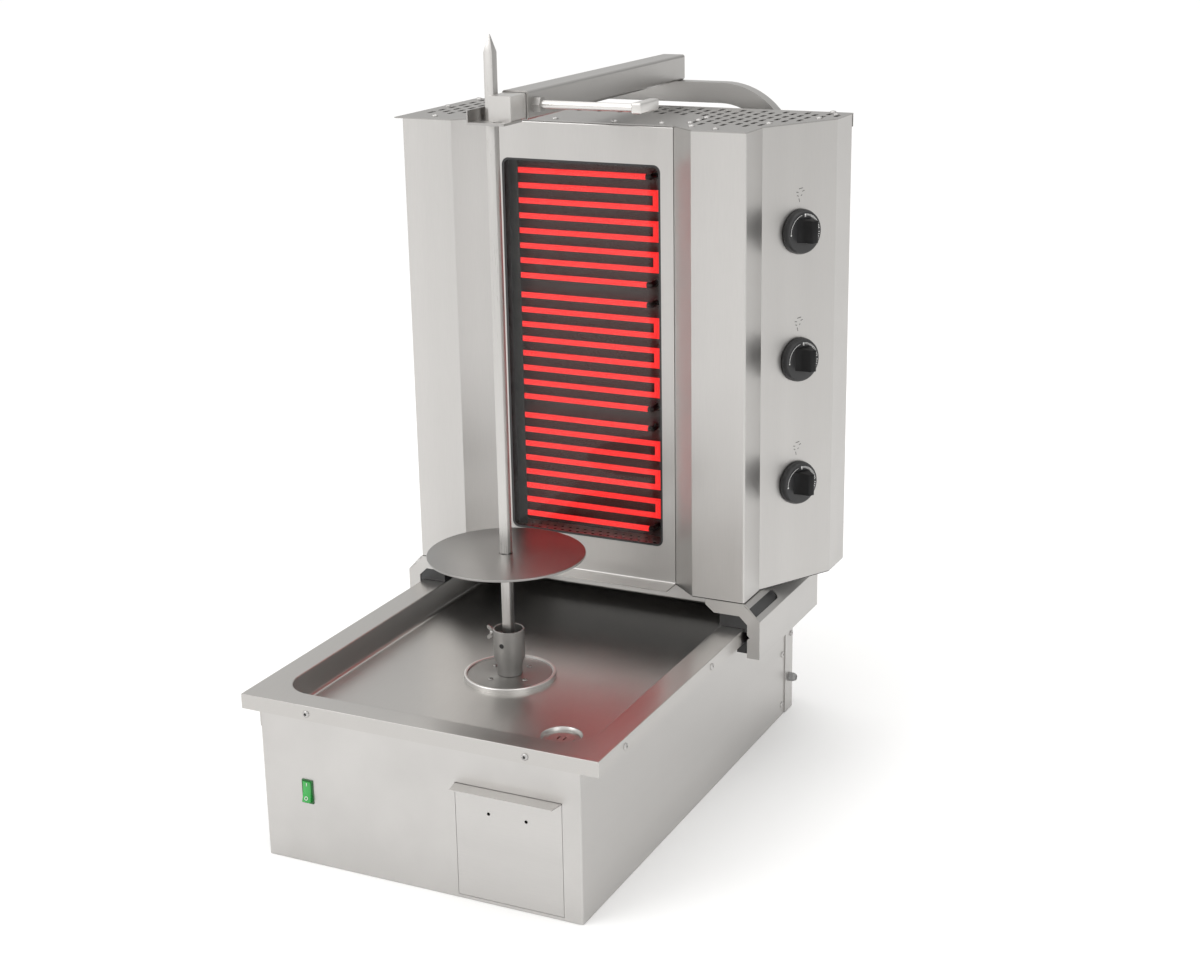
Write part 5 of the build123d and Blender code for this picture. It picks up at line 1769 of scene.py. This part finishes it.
def dress_solids() -> None:
    """Give every carried-over solid its finish."""
    for name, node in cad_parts.items():
        finish = CAD_FINISHES.get(name)
        if finish is None:
            continue
        material = finish.build()
        if not node.data.materials:
            node.data.materials.append(material)
        for slot in node.material_slots:
            slot.material = material
        LOG.info("%s: %s", name, finish.name)


@dataclass
class Studio:
    """Camera, floor, lights and surroundings."""

    lens: float = 59.655
    eye: Triple = (1173.03 * MM, -2127.53 * MM, 1214.5 * MM)
    yaw: float = radians(25.97)
    pitch: float = radians(17.36)
    roll: float = radians(-1.0)
    floor_size: float = 60.0
    floor_drop: float = 0.6 * MM
    brighter: Triple = (-0.55, -0.75, 0.36)
    dimmest: float = 0.42
    overhead: float = 0.38

    def camera(self) -> None:
        """Set up the photograph's camera."""
        data = bpy.data.cameras.new("photo_camera")
        data.lens = self.lens
        data.sensor_width = 36.0
        data.sensor_fit = "HORIZONTAL"
        data.clip_start = 0.05
        camera = stand("photo_camera", data)
        look = Vector((-sin(self.yaw) * cos(self.pitch), cos(self.yaw) * cos(self.pitch), -sin(self.pitch)))
        right = Vector((cos(self.yaw), sin(self.yaw), 0))
        up = right.cross(look)
        level = cos(self.roll) * right + sin(self.roll) * up
        high = -sin(self.roll) * right + cos(self.roll) * up
        turn = Matrix((level, high, -look)).transposed().to_4x4()
        camera.matrix_world = Matrix.Translation(Vector(self.eye)) @ turn
        bpy.context.scene.camera = camera

    def floor(self) -> None:
        """Lay a plain pale floor."""
        shape = Shape()
        place = Matrix.Translation((0, 0, -self.floor_drop))
        bmesh.ops.create_grid(shape.bm, x_segments=1, y_segments=1, size=self.floor_size, matrix=place)
        mesh = bpy.data.meshes.new("studio_floor")
        shape.bm.to_mesh(mesh)
        shape.bm.free()
        pale = bpy.data.materials.new("studio_floor")
        pale.use_nodes = True
        fix(pale.node_tree.nodes["Principled BSDF"], {"Base Color": (1.0, 1.0, 1.0, 1.0), "Roughness": 0.9})
        mesh.materials.append(pale)
        plane = stand("studio_floor", mesh)

    def lamp(self, name: str, place: Triple, target: Triple, size: float, power: float) -> None:
        """Hang one soft lamp.

        Args:
            name: its name.
            place: where it hangs.
            target: the point that it looks at.
            size: its width.
            power: its power in watts.
        """
        data = bpy.data.lights.new(name, "AREA")
        data.shape = "SQUARE"
        data.size = size
        data.energy = power
        way = Vector(target) - Vector(place)
        turn = way.to_track_quat("-Z", "Y").to_matrix().to_4x4()
        stand(name, data).matrix_world = Matrix.Translation(Vector(place)) @ turn

    def surroundings(self) -> None:
        """Make a white room that is brighter overhead and dimmer to the right."""
        world = bpy.data.worlds.new("studio")
        bpy.context.scene.world = world
        world.use_nodes = True
        tree = world.node_tree
        background = tree.nodes["Background"]
        fix(background, {"Color": (1.0, 0.995, 0.985, 1.0)})
        spot = put(tree, "TexCoord").outputs["Generated"]
        side = put(tree, "VectorMath", {1: Vector(self.brighter).normalized()})
        side.operation = "DOT_PRODUCT"
        spread = {"From Min": -1.0, "From Max": 1.0, "To Min": self.dimmest, "To Max": 1.0}
        dimmed = put(tree, "MapRange", spread)
        height = put(tree, "SeparateXYZ")
        lift = put(tree, "Math", {1: self.overhead})
        lift.operation = "MULTIPLY_ADD"
        wire(
            tree,
            (spot, side.inputs[0]),
            (side.outputs["Value"], dimmed.inputs["Value"]),
            (spot, height.inputs["Vector"]),
            (height.outputs["Z"], lift.inputs[0]),
            (dimmed.outputs["Result"], lift.inputs[2]),
            (lift.outputs["Value"], background.inputs["Strength"]),
        )

    def build(self) -> None:
        """Set up the studio."""
        self.camera()
        self.floor()
        self.surroundings()
        self.lamp("key", (-2.2, -3.0, 3.2), (0, 0, 0.5), 2.4, 42.0)
        self.lamp("fill", (2.8, -2.0, 2.2), (0, 0.2, 0.5), 2.0, 15.0)
        self.lamp("top", (0.0, 0.6, 3.6), (0, 0.1, 0.4), 2.5, 16.0)
        bpy.context.scene.view_settings.view_transform = "Standard"


def main() -> None:
    """Build the studio and every sub-assembly in order."""
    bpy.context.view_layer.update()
    parts = (Studio, DripPan, Drive, Spit, Heaters, TopCover, Screws, Knob, Switch, Clamp, HeaterTray)
    for part in parts:
        part().build()
    dress_solids()


if __name__ == "__main__":
    main()
